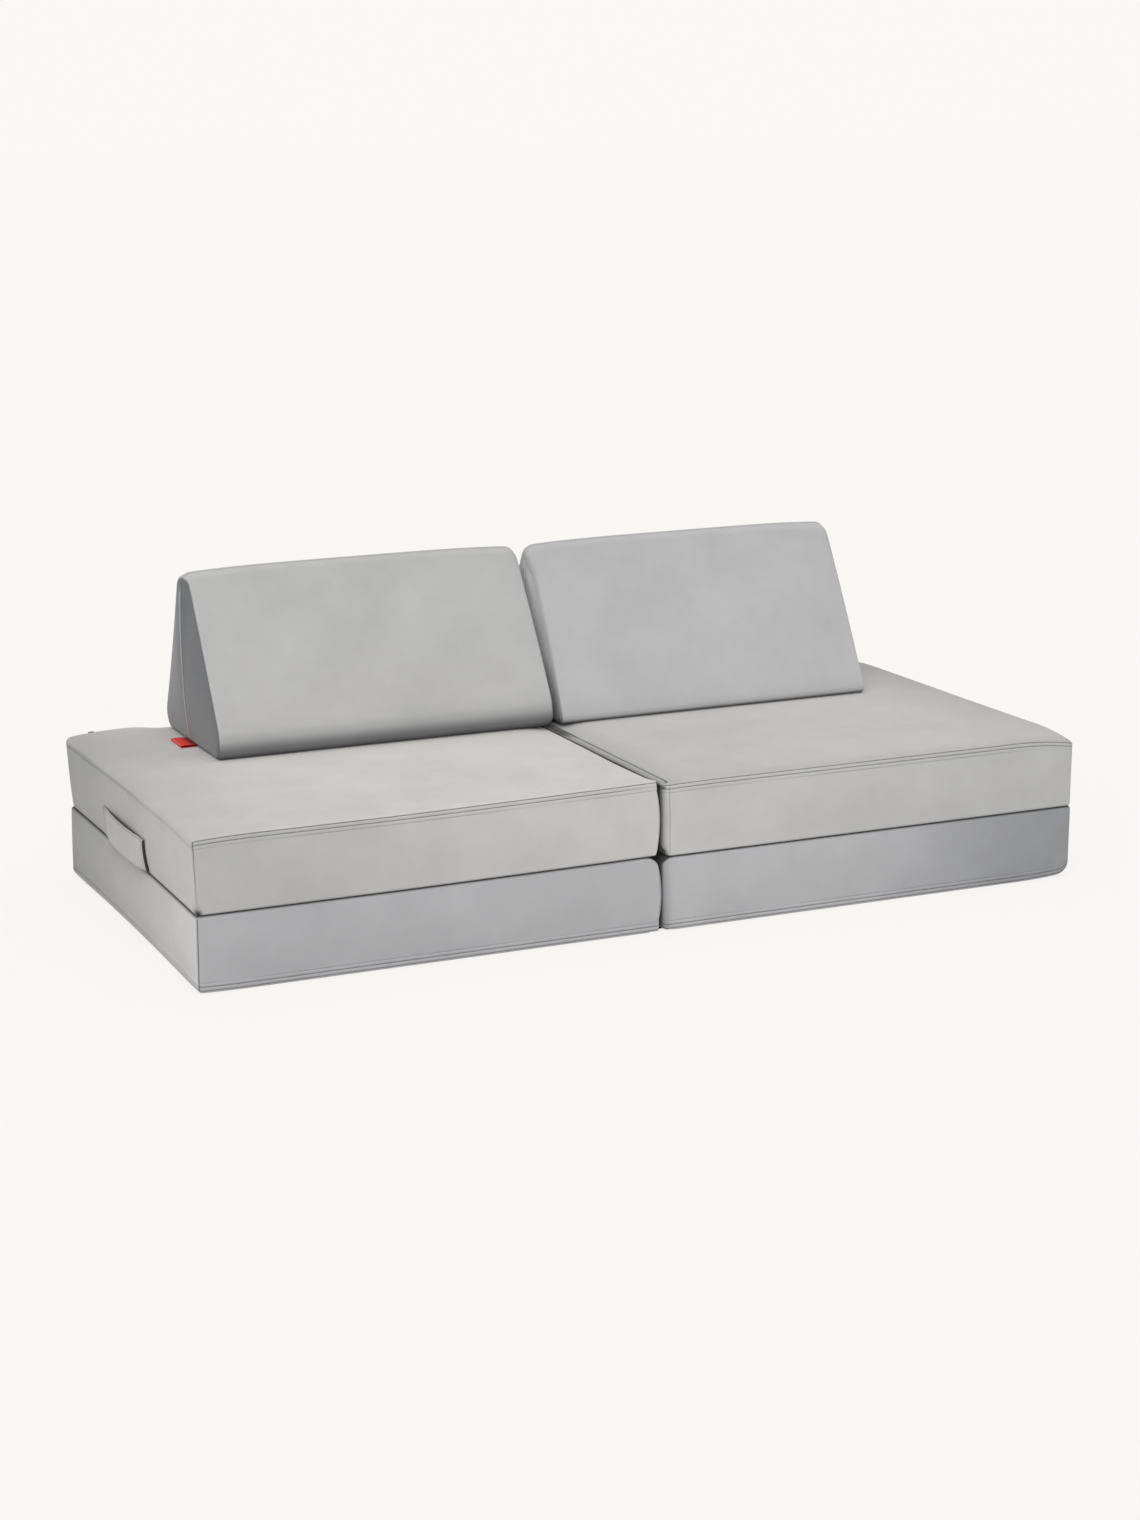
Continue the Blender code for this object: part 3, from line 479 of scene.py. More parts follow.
def build_half(prefix, side, face_up, look):
    """Covered cushion of one mattress half, ready for simulation."""
    points, faces, rows, panels, painted_shades, number, ring = half_grid(look)
    points = leaf_recess(points, rows, look["strip"])
    level = SEAT_SEAM_LEVEL - points[:, 2] if face_up else points[:, 2]
    low, high = (corner.copy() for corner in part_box(f"{prefix}_zip"))
    low.x, high.x = sorted((side * low.x, side * high.x))
    slot = zip_recess(points, rows, level, (low, high), low.y - 0.0004)
    world = np.column_stack([side * points[:, 0], points[:, 1], level])
    obj = new_object(f"{prefix}_cushion", world, faces)
    # Painted light and shade: each panel's tone and its run along the half stand for the light falling on it as well as
    # the velvet's tone
    first, last = look["run"]
    run = smooth((points[:, 0] / HALF_LENGTH - first) / (last - first))
    run = np.where(panels == 2, points[:, 1] / DEPTH + 0.5, run)
    shaded_tones = np.array(look["shaded_tones"])[panels]
    tone = shaded_tones[:, 0] + (shaded_tones[:, 1] - shaded_tones[:, 0]) * np.clip(run, 0, 1)
    # Painted shade beside the front seam, beside the fold strip and towards the end
    beside_seam = np.clip(1 - (points[:, 1] + DEPTH / 2) / 0.035, 0, 1) ** 1.5
    tone = tone - look["front_shade"] * beside_seam * (panels == 0) * smooth(points[:, 0] / 0.3)
    near_end = np.clip(1 - (HALF_LENGTH - points[:, 0]) / 0.24, 0, 1) ** 1.5
    beside_fold = np.clip(1 - (points[:, 0] - look["strip"]) / 0.055, 0, 1) ** 1.3
    tone = tone - look["panel_shade"] * beside_fold * (panels == 0)
    tone = tone - look["end_shade"] * near_end * (panels == 0) * (0.35 + 0.65 * smooth(points[:, 1] / DEPTH + 0.5))
    # Painted shadow on the end behind the carrying strap
    if look["handle"]:
        strap_low, strap_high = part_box(look["handle"])
        behind = (panels == 2) & (level > strap_low.z + 0.001) & (level < strap_high.z - 0.001)
        behind &= (points[:, 1] > strap_low.y + HANDLE_SHORT) & (points[:, 1] < strap_high.y - 0.02)
        painted_shades = np.where(behind, 0.95, painted_shades)
    # The tone carries painted light and shade, and the seam attribute carries painted shade
    set_attribute(obj, "nap_and_painted_light", tone)
    set_attribute(obj, "seam", painted_shades)
    set_attribute(obj, "cool", np.array(look["cool"])[panels])
    side_last = len(SEAM_ROWS) + SIDE_ROWS
    free = np.zeros(len(points))
    on_side = (rows >= len(SEAM_ROWS)) & (rows < side_last)
    free[on_side] = np.sin(np.pi * (rows[on_side] - len(SEAM_ROWS) + 1) / (SIDE_ROWS + 1))
    edge = np.minimum(points[:, 0] - FOLD_HALF_GAP, HALF_LENGTH - points[:, 0])
    edge = np.minimum(edge, DEPTH / 2 - np.abs(points[:, 1]))
    on_face = rows == -1
    free[on_face] = 0.4 * smooth(edge[on_face] / 0.06)
    if not face_up:
        free[on_face] = 0.0
    free[panels == 4] *= 0.3
    free *= 1 - np.clip(slot * 1.5, 0, 1)
    return {
        "object": obj, "free": free, "limit": look["limit"], "rows": rows, "number": number, "ring": ring,
        "prefix": prefix, "body": prefix, "side": side, "face_up": face_up, "panels": panels,
    }


def set_attribute(obj, name, values):
    attribute = obj.data.attributes.new(name, "FLOAT", "POINT")
    attribute.data.foreach_set("value", np.asarray(values, dtype=np.float32))


# Wedges


def half_length_of(node):
    low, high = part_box(node)
    return (high.x - low.x) / 2


def wedge_chain(foot, foot_steps, shares, reach=0.0):
    """Front or back of the section from the foot to the ridge: rows of y, z, normal and slope share.

    A foot is the radius of its corner on the seat, the radius of the bend above it and the
    level of that bend's centre. A foot of one radius is one arc.
    """
    corner_radius, bend_radius, bend_level = foot
    foot_y = -WEDGE_DEPTH / 2 - reach
    bend_y = foot_y + bend_radius
    ridge_z = WEDGE_HEIGHT - WEDGE_RIDGE
    between = math.hypot(bend_y, ridge_z - bend_level)
    line_angle = math.atan2(ridge_z - bend_level, -bend_y)
    face_angle = line_angle + math.acos((bend_radius - WEDGE_RIDGE) / between)
    rows = []

    def arc(centre_y, centre_z, radius, first, last, steps):
        for step in steps:
            angle = first + (last - first) * step
            turn = (math.cos(angle), math.sin(angle))
            rows.append((centre_y + radius * turn[0], centre_z + radius * turn[1], *turn, 0.0))

    if corner_radius == bend_radius:
        arc(bend_y, bend_level, bend_radius, 1.5 * math.pi, face_angle, np.linspace(0, 1, foot_steps + 1))
    else:
        half = foot_steps // 2
        arc(foot_y + corner_radius, corner_radius, corner_radius, 1.5 * math.pi, math.pi,
            np.linspace(0, 1, half + 1))
        arc(bend_y, bend_level, bend_radius, math.pi, face_angle, np.linspace(0, 1, half + 1)[1:])
    start = rows[-1]
    end = (WEDGE_RIDGE * math.cos(face_angle), ridge_z + WEDGE_RIDGE * math.sin(face_angle))
    for share in shares:
        rows.append((start[0] + (end[0] - start[0]) * share, start[1] + (end[1] - start[1]) * share,
                     start[2], start[3], share))
    return rows, face_angle


def seam_columns(half_columns):
    """Shares across half a face from its side to the middle, and the widths kept beside the middle."""
    beside = (0.0055, 0.0032, 0.0014)
    return np.linspace(0.0, 1.0, half_columns - len(beside) + 1)[:-1], beside


def across(front, back, half_columns):
    """Places from front to back, with narrow columns kept beside the middle seam."""
    shares, beside = seam_columns(half_columns)
    middle = 0.0
    half_front, half_back = middle - front, back - middle
    low = [front + s * max(half_front - beside[0] * 1.6, half_front * 0.4) for s in shares]
    high = [back - s * max(half_back - beside[0] * 1.6, half_back * 0.4) for s in shares]
    near_front = [middle - min(b, half_front * b / beside[0] * 0.5) for b in beside]
    near_back = [middle + min(b, half_back * b / beside[0] * 0.5) for b in beside]
    return low + near_front + [middle] + near_back[::-1] + high[::-1]


def build_wedge(prefix, centre_x, look):
    """Covered cushion of one wedge, ready for simulation."""
    foot_steps, half_columns = 10, 13
    columns = 2 * half_columns
    front, front_angle = wedge_chain(look["feet"][0], foot_steps, SLOPE_SHARES, look["reach"])
    back, back_angle = wedge_chain(look["feet"][1], foot_steps, SLOPE_SHARES)
    slot_reach = half_length_of(f"{prefix}_zip")
    back = [(-y, z, -ny, nz, s) for y, z, ny, nz, s in back]
    last = len(front) - 1
    ridge_z = WEDGE_HEIGHT - WEDGE_RIDGE
    arc_length = WEDGE_RIDGE * (front_angle - math.pi / 2)
    ridge = []
    for place in across(-arc_length, arc_length, half_columns):
        angle = math.pi / 2 - place / WEDGE_RIDGE
        ridge.append((WEDGE_RIDGE * math.cos(angle), ridge_z + WEDGE_RIDGE * math.sin(angle),
                      math.cos(angle), math.sin(angle), place))
    bottom_y = across(front[0][0], back[0][0], half_columns)
    half = WEDGE_LENGTH / 2
    edge_steps = 5
    distances = [(WEDGE_EDGE * (1 - math.cos(math.pi / 2 * k / edge_steps)),
                  WEDGE_EDGE * (1 - math.sin(math.pi / 2 * k / edge_steps))) for k in range(edge_steps + 1)]
    distances += [(d, 0.0) for d in (0.0115, 0.016, 0.0215, 0.027, 0.033, 0.040)]
    count = round((WEDGE_LENGTH - 0.08) / 0.0105)
    middle = [(0.040 + (WEDGE_LENGTH - 0.08) * k / count, 0.0) for k in range(1, count)]
    sections = [(-half + d, i) for d, i in distances] + [(-half + d, i) for d, i in middle]
    sections += [(half - d, i) for d, i in reversed(distances)]
    points, faces, number, shaded_tones, free, painted_shades = [], [], {}, [], [], []
    # Tones of the front, the back and the front and back halves of the ends, with painted light and shade in them
    tone_front, tone_back, tone_end_front, tone_end_back = look["shaded_tones"]

    def lowered(x, z):
        from_end = half - abs(x)
        drop = float(rolled(np.array(from_end), look["top_corners"][0 if x < 0 else 1]))
        crown = WEDGE_CROWN * (1 - (x / half) ** 4) * (max(z, 0.0) / WEDGE_HEIGHT) ** 2
        lift = float(rolled(np.array(from_end), look["gap_foot"])) if x * look["gap_side"] > 0 else 0.0
        return z + crown - drop * (max(z, 0.0) / WEDGE_HEIGHT) ** 3 + lift * max(0.0, 1 - z / 0.045) ** 2

    def pushed(x, y, z):
        """The back half of the left end leans out to the ridge, and the end at the gap leans in."""
        near = float(smooth((0.05 - (half + x)) / 0.05)) * float(smooth((y + 0.022) / 0.034))
        side = look["gap_side"]
        at_foot, above = look["gap_lean"]
        rise = max(z, 0.0) / WEDGE_HEIGHT
        front_y = -(WEDGE_DEPTH / 2 + look["reach"]) * (1 - min(rise, 0.9))
        in_front = 1 - float(smooth((y - front_y) / max(-0.9 * front_y, 0.02)))
        in_front *= 1 - float(smooth((rise - 0.84) / 0.14))
        gap = at_foot + look["ridge_lean"] * float(smooth(rise))
        gap += (above - at_foot) * float(smooth(rise / 0.5)) * in_front
        gap *= float(smooth((0.06 - (half - side * x)) / 0.06))
        return x - look["end_push"] * near * (max(z, 0.0) / WEDGE_HEIGHT) ** 1.7 - side * gap

    def add(key, x, y, z, tone, loose, painted_shade=0.0):
        number[key] = len(points)
        points.append((pushed(x, y, z), y, lowered(x, z)))
        shaded_tones.append(tone)
        free.append(loose)
        painted_shades.append(painted_shade)

    def seam_raise(place):
        distance = abs(place)
        if distance < 0.0006:
            return 0.0014
        if distance < 0.0021:
            return 0.0011
        if distance < 0.0044:
            return -0.0009
        return 0.0

    # Painted contact shadow, darkest where the cloth meets the seat
    def contact_shade(z):
        return math.sqrt(max(0.0, 1 - z / 0.0065))

    # Painted shade low on the end beside the gap
    def low_end_shade(outward, z):
        return look["gap_shade"] * max(0.0, 1 - z / 0.12) if outward == look["gap_side"] else 0.0

    # Painted shade beside the raised line of the middle seam
    def seam_crease_shade(place):
        return 0.25 if 0.0021 < abs(place) < 0.0044 else 0.0

    for s, (x, inset) in enumerate(sections):
        near_end = half - abs(x)
        along = 1 - (x / half) ** 4
        loose_x = float(smooth(np.array(near_end / 0.06)))
        at_edge = near_end < 0.0032
        for r in range(last + 1):
            for c, chain, tone, end_tone in ((0, front, tone_front, tone_end_front),
                                             (columns, back, tone_back, tone_end_back)):
                y, z, ny, nz, share = chain[r]
                swell = WEDGE_SWELL * along * math.sin(math.pi * min(share, 1.0) ** 0.8)
                out = swell - inset
                loose = loose_x * math.sin(math.pi * share) if share > 0 else 0.0
                # Painted contact shadow, and painted shade low on the end beside the gap
                painted_shade = contact_shade(z)
                if at_edge:
                    painted_shade = max(painted_shade, low_end_shade(-1 if x < 0 else 1, z))
                    # Painted light: on the gap side the edge keeps the face's tone, turning to the gap end's tone at
                    # the very end
                    if x * look["gap_side"] > 0:
                        end_tone = tone + (look["gap_end_light"] - tone) * max(0.0, 1 - near_end / 0.001)
                # Painted shade at the front foot
                if c == 0:
                    painted_shade = max(painted_shade, look["foot_dark_shade"] * max(0.0, 1 - z / 0.03) ** 1.5)
                if c == columns and SLOT_SHARES[0] < share < SLOT_SHARES[1] and abs(x) < slot_reach + 0.001:
                    out, loose = -ZIP_DEPTH, 0.0
                elif c == columns and SLOT_SHARES[0] - 0.02 < share < SLOT_SHARES[1] + 0.02:
                    loose = 0.0
                # Painted shade towards the front foot; painted light low on each slope and painted shade high on it
                shade = look["foot_shade"] * float(smooth((FOOT_SHADE_LEVEL - z) / FOOT_SHADE_LEVEL)) if c == 0 else 0.0
                shown = tone * (1 - shade) + look["slope_light"] * (0.5 - share) * (share > 0)
                add((s, r, c), x, y + ny * out, z + nz * out, end_tone if at_edge else shown, loose, painted_shade)
        for c in range(1, columns):
            y = bottom_y[c]
            # Bottom, with painted contact shadow
            add((s, 0, c), x, y, 0.0 + inset, tone_end_front if at_edge else tone_back, 0.0, contact_shade(inset))
            y, z, ny, nz, place = ridge[c]
            out = seam_raise(place) - inset
            tone = (tone_front if c < half_columns else tone_back) if not at_edge else (
                tone_end_front if c < half_columns else tone_end_back)
            add((s, last, c), x, y + ny * out, z + nz * out, tone, 0.0, seam_crease_shade(place))
    final = len(sections) - 1
    for s, outward in ((0, -1), (final, 1)):
        x = sections[s][0]
        for r in range(1, last):
            front_y, front_z = front[r][0] + front[r][2] * -WEDGE_EDGE, front[r][1] + front[r][3] * -WEDGE_EDGE
            back_y, back_z = back[r][0] + back[r][2] * -WEDGE_EDGE, back[r][1] + back[r][3] * -WEDGE_EDGE
            row = across(front_y, back_y, half_columns)
            width = (back_y - front_y) / 2
            for c in range(1, columns):
                y = row[c]
                share = (y - front_y) / (back_y - front_y)
                z = front_z + (back_z - front_z) * share
                swell, tall = look["end_swells"][0 if outward < 0 else 1]
                rise = math.sin(math.pi * min(z / WEDGE_HEIGHT, 1.0) ** tall) ** 0.7
                bulge = swell * rise * (1 - (y / width) ** 2)
                bulge += seam_raise(y) if width > 0.012 else 0.0
                # End tones with painted light: lighter at the gap, and on the outer end lighter towards its foot
                tone = tone_end_front if c < half_columns else tone_end_back
                if outward == look["gap_side"]:
                    tone = look["gap_end_light"]
                    loose_end = 0.25
                else:
                    tone += look["end_light"][0 if c < half_columns else 1] * (1 - z / WEDGE_HEIGHT) ** 2
                    loose_end = 0.6
                # Painted highlight along the end's middle seam
                seam_light = 0.34 if abs(y) < 0.0021 and width > 0.012 else 0.0
                loose = loose_end * (1 - (y / width) ** 2) * min(1.0, abs(y) / 0.03) * math.sin(math.pi * z / WEDGE_HEIGHT)
                # Painted shade beside the seam, at the foot and low beside the gap
                painted_shade = max(seam_crease_shade(y) if width > 0.012 else 0.0, contact_shade(z), low_end_shade(outward, z))
                add((s, r, c), x + outward * max(bulge, -0.001), y, z, tone + seam_light, max(loose, 0.0), painted_shade)
    ring = [(0, c) for c in range(columns)] + [(r, columns) for r in range(last)]
    ring += [(last, c) for c in range(columns, 0, -1)] + [(r, 0) for r in range(last, 0, -1)]
    for s in range(final):
        for here, there in zip(ring, ring[1:] + ring[:1]):
            faces.append((number[s, *here], number[s, *there], number[s + 1, *there], number[s + 1, *here]))
    for s in (0, final):
        for r in range(last):
            for c in range(columns):
                faces.append((number[s, r, c], number[s, r, c + 1], number[s, r + 1, c + 1], number[s, r + 1, c]))
    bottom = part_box(f"{prefix}_front_panel")[0].z
    world = np.array(points) + np.array([centre_x, WEDGE_MIDDLE_Y, bottom])
    obj = new_object(f"{prefix}_cushion", world, faces)
    set_attribute(obj, "nap_and_painted_light", shaded_tones)
    set_attribute(obj, "seam", painted_shades)
    set_attribute(obj, "cool", np.full(len(points), look["cool"]))
    return {
        "object": obj, "free": np.array(free), "limit": look["limit"], "number": number,
        "sections": len(sections), "last": last, "columns": columns, "prefix": prefix, "body": prefix,
        "back_turn": math.pi - back_angle,
    }


WEDGE_MIDDLE_Y = (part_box("wedge_left_foam")[0].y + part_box("wedge_left_foam")[1].y) / 2


# Straps, strips, label and stitching


def surface_tree(obj):
    """Search tree of a finished cushion, to lay cloth on it."""
    mesh = obj.data
    return BVHTree.FromPolygons([v.co[:] for v in mesh.vertices], [p.vertices[:] for p in mesh.polygons])


def tone_piece(obj, nap_and_painted_light, seam, cool):
    """Store the velvet's attributes on a piece."""
    count = len(obj.data.vertices)
    for name, values in (("nap_and_painted_light", nap_and_painted_light), ("seam", seam), ("cool", cool)):
        set_attribute(obj, name, np.broadcast_to(np.asarray(values, dtype=float), (count,)))


def banded_faces(stations, ring):
    """Faces of a closed tube of rings whose outer and inner halves face each other, caps included."""
    faces = []
    for j in range(stations - 1):
        for k in range(ring):
            here, there = j * ring + k, j * ring + (k + 1) % ring
            faces.append((here, there, there + ring, here + ring))
    for j in (0, stations - 1):
        for k in range(ring // 2 - 1):
            opposite = ring - 1 - k
            faces.append((j * ring + k, j * ring + k + 1, j * ring + opposite - 1, j * ring + opposite))
    return faces


def make_strap(name, side, low, high, cushion, shaded_tones):
    """Carrying handle: a flat strap of doubled cover cloth, folded under and sewn at both ends.

    It stands off the cushion a little between its ends, and its front end stands proud.
    """
    tree = surface_tree(cushion)
    along = np.concatenate([[0.0, 0.003], np.linspace(0.01, 0.99, 93), [0.9965, 1.0]])
    y = high.y + (low.y + HANDLE_SHORT - high.y) * along
    edge = np.array((0.0, 0.0012, 0.0026, 0.0034, 0.0046))
    width = high.z - low.z
    z_rows = low.z + np.concatenate([edge, np.linspace(0.0046, width - 0.0046, 9)[1:-1], width - edge[::-1]])
    surface = np.empty((len(y), len(z_rows)))
    for j, at_y in enumerate(y):
        for k, at_z in enumerate(z_rows):
            hit = tree.ray_cast(Vector((side * 1.2, at_y, at_z)), Vector((-side, 0, 0)))[0]
            surface[j, k] = side * hit.x
    window = np.ones(9) / 9
    outermost = surface.max(axis=1)
    outermost = np.convolve(np.pad(outermost, 4, mode="edge"), window, mode="valid")
    stand = np.interp(along, *HANDLE_STAND)
    thick = np.interp(along, *HANDLE_THICK)
    stand, thick = (np.convolve(np.pad(a, 2, mode="edge"), np.ones(5) / 5, mode="valid") for a in (stand, thick))
    held = smooth((0.5 - np.abs(along - 0.5) - 0.04) / 0.1)[:, None]
    inner = surface * (1 - held) + np.maximum(surface, outermost[:, None]) * held + stand[:, None]
    groove = np.zeros(len(z_rows))
    groove[[2, -3]] = 0.0007
    groove[[0, -1]] = 0.0009
    across = np.zeros(len(y))
    across[[5, -6]] = 0.0006
    outer = inner + thick[:, None] - groove[None, :] - across[:, None]
    points = []
    for j, at_y in enumerate(y):
        points += [(side * outer[j, k], at_y, z_rows[k]) for k in range(len(z_rows))]
        points += [(side * inner[j, k], at_y, z_rows[k]) for k in reversed(range(len(z_rows)))]
    ring = 2 * len(z_rows)
    obj = new_object(name, points, banded_faces(len(y), ring))
    # Painted light and shade: the strap darker towards its back end, with shade painted on its stitch lines, its inner
    # side and its ends
    nap_and_painted_light = np.repeat(np.interp(along, (0, 1), shaded_tones), ring)
    seam = np.zeros((len(y), ring))
    seam[:, [2, len(z_rows) - 3]] = 0.45
    seam[[5, -6], :len(z_rows)] = 0.45
    seam[:, len(z_rows):] = 0.95
    seam[0, :], seam[-1, :] = 0.5, 1.0
    tone_piece(obj, nap_and_painted_light, seam.ravel(), 0.2)
    length = float(np.hypot(np.diff(y), np.diff(outer[:, 7])).sum())
    rows = {}
    for key, k in (("low", 2), ("high", len(z_rows) - 3)):
        rows[key] = [(side * (outer[j, k] + 0.0002), y[j], z_rows[k]) for j in range(3, len(y) - 3)]
    for key, j in (("back", 5), ("front", len(y) - 6)):
        rows[key] = [(side * (outer[j, k] + 0.0002), y[j], z_rows[k]) for k in range(2, len(z_rows) - 2)]
    return obj, (width, length), list(rows.values())


def make_strip(name, sections, ends, lift, cool, dark_from=1.0):
    """Cloth hinge along a fold: a strip whose ends turn down over the corners.

    Sections are (x, height, tone, painted shade) across the strip. The ends are its reach in y and how
    far its last 15 mm bend, and lift is the level it lies at, which way is out and its waves.
    Behind dark_from, and on its underside, the strip is painted in shade.
    """
    reach, bend = ends
    level, out, waves = lift
    y = np.linspace(-1, 1, 81)
    y = np.sign(y) * reach * (1 - (1 - np.abs(y)) ** 1.15)
    x = np.array([row[0] for row in sections])
    height = np.array([row[1] for row in sections])
    near = np.clip(1 - (reach - np.abs(y)) / 0.015, 0, 1)
    points, seam, nap_and_painted_light = [], [], []
    for at_y, end in zip(y, near):
        drop = bend * end ** 2
        wave = waves * (math.sin(41 * at_y) + 0.6 * math.sin(97 * at_y + 1))
        narrowed = x + (x[-1] - x) * 0.5 * end ** 2 * (bend > 0)
        for k in range(len(x)):
            points.append((narrowed[k] + wave * (0 < k), at_y, level + out * (height[k] - drop)))
        for k in reversed(range(len(x))):
            under = min(height[k], 0.0012) - 0.0010 - drop
            points.append((narrowed[k] + wave * (0 < k), at_y, level + out * under))
        nap_and_painted_light += [row[2] for row in sections] + [row[2] for row in reversed(sections)]
        # Painted shade behind dark_from and on the strip's underside
        shade = float(smooth((at_y - dark_from) / 0.09))
        seam += [max(row[3], shade) for row in sections] + [0.95] * len(x)
    obj = new_object(name, points, banded_faces(len(y), 2 * len(x)))
    tone_piece(obj, nap_and_painted_light, seam, cool)
    across = float(np.hypot(np.diff(x), np.diff(height)).sum())
    along = float(np.hypot(np.diff(y), np.diff(bend * near ** 2)).sum())
    return obj, (across, along)


def folded_tab(name, seam_middle, outward, along, size, puff, cloth, skew):
    """A tab of ribbon folded double, its two cut ends caught in a seam.

    The size is (out from the seam, along the seam).
    """
    reach, width = size
    outward, along = Vector(outward).normalized(), Vector(along).normalized()
    up = along.cross(outward)
    if up.z < 0:
        up = -up
    centre = []
    for step in np.linspace(0, 1, 12):
        half_gap = 0.35 * cloth + 0.0002 + (puff - 0.35 * cloth) * float(smooth(step * 1.6))
        centre.append((step * (reach - puff), -half_gap))
    for angle in np.linspace(-60, 60, 6):
        centre.append((reach - puff + puff * math.cos(math.radians(angle)), puff * math.sin(math.radians(angle))))
    for step in np.linspace(1, 0, 12):
        half_gap = 0.35 * cloth + 0.0002 + (puff - 0.35 * cloth) * float(smooth(step * 1.6))
        centre.append((step * (reach - puff), half_gap))
    centre = np.array(centre)
    tangent = np.gradient(centre, axis=0)
    tangent /= np.linalg.norm(tangent, axis=1, keepdims=True)
    normal = np.column_stack([tangent[:, 1], -tangent[:, 0]])
    points, share = [], []
    stations = np.linspace(-0.5, 0.5, 25)
    for place in stations:
        wave = 0.0004 * math.sin(place * 5.3 + 0.6)
        for sign, rows in ((1, range(len(centre))), (-1, reversed(range(len(centre))))):
            for k in rows:
                out, rise = centre[k] + sign * normal[k] * cloth / 2
                spot = Vector(seam_middle) + outward * out + up * (rise + wave * out / reach)
                points.append(spot + along * (place * width + skew * out / reach))
                share.append(out / reach)
    obj = new_object(name, points, banded_faces(len(stations), 2 * len(centre)))
    # Painted shade darkens the tab towards the seam it is caught in
    set_attribute(obj, "seam", 0.75 * (1 - smooth((np.array(share) - 0.1) / 0.45)))
    length = float(np.linalg.norm(np.diff(centre, axis=0), axis=1).sum())
    row = [Vector(seam_middle) + outward * 0.004 + up * (centre[-2][1] + cloth / 2 + 0.0003) + along * (v * width)
           for v in np.linspace(-0.46, 0.46, 12)]
    return obj, (width, length), row


def repeat_tree():
    """Beads laid along lines: stitches of thread or the turns of a zip's coil."""
    tree = bpy.data.node_groups.new("beads along lines", "GeometryNodeTree")
    face = tree.interface
    face.new_socket("Geometry", in_out="INPUT", socket_type="NodeSocketGeometry")
    for name, value in (("Pitch", 0.0036), ("Length", 0.0027), ("Width", 0.0006), ("Height", 0.0005)):
        face.new_socket(name, in_out="INPUT", socket_type="NodeSocketFloat").default_value = value
    face.new_socket("Material", in_out="INPUT", socket_type="NodeSocketMaterial")
    face.new_socket("Geometry", in_out="OUTPUT", socket_type="NodeSocketGeometry")
    source = add_node(tree, "NodeGroupInput")
    result = add_node(tree, "NodeGroupOutput")
    link = tree.links.new
    line = add_node(tree, "GeometryNodeMeshToCurve")
    link(source.outputs["Geometry"], line.inputs["Mesh"])
    spaced = add_node(tree, "GeometryNodeResampleCurve")
    spaced.mode = "LENGTH"
    link(line.outputs["Curve"], spaced.inputs["Curve"])
    link(source.outputs["Pitch"], spaced.inputs["Length"])
    bead = add_node(tree, "GeometryNodeMeshUVSphere")
    bead.inputs["Segments"].default_value = 6
    bead.inputs["Rings"].default_value = 3
    bead.inputs["Radius"].default_value = 0.5
    tangent = add_node(tree, "GeometryNodeInputTangent")
    turn = add_node(tree, "FunctionNodeAlignRotationToVector", axis="Z")
    link(tangent.outputs[0], turn.inputs["Vector"])
    size = add_node(tree, "ShaderNodeCombineXYZ")
    link(source.outputs["Width"], size.inputs["X"])
    link(source.outputs["Height"], size.inputs["Y"])
    link(source.outputs["Length"], size.inputs["Z"])
    laid = add_node(tree, "GeometryNodeInstanceOnPoints")
    link(spaced.outputs["Curve"], laid.inputs["Points"])
    link(bead.outputs["Mesh"], laid.inputs["Instance"])
    link(turn.outputs[0], laid.inputs["Rotation"])
    link(size.outputs[0], laid.inputs["Scale"])
    made = add_node(tree, "GeometryNodeRealizeInstances")
    link(laid.outputs["Instances"], made.inputs["Geometry"])
    coated = add_node(tree, "GeometryNodeSetMaterial")
    link(made.outputs["Geometry"], coated.inputs["Geometry"])
    link(source.outputs["Material"], coated.inputs["Material"])
    link(coated.outputs["Geometry"], result.inputs["Geometry"])
    return tree


def lay_beads(name, tree, lines, material, body, slot, turned=None, **sizes):
    """Beads of a repeat tree along lines of points, as one plain mesh that rides on a body."""
    points, edges = [], []
    for line in lines:
        first = len(points)
        points += [tuple(p) for p in line]
        edges += [(first + k, first + k + 1) for k in range(len(line) - 1)]
    mesh = bpy.data.meshes.new(name)
    mesh.from_pydata(points, edges, [])
    obj = bpy.data.objects.new(name, mesh)
    bpy.context.collection.objects.link(obj)
    modifier = obj.modifiers.new("beads", "NODES")
    modifier.node_group = tree
    values = dict(sizes, Material=material)
    for item in tree.interface.items_tree:
        if item.in_out == "INPUT" and item.name in values:
            modifier[item.identifier] = values[item.name]
    apply_modifiers(obj)
    if turned is not None:
        obj.data.transform(turned)
    obj.data.shade_smooth()
    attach(obj, body)
    return obj


# Simulation


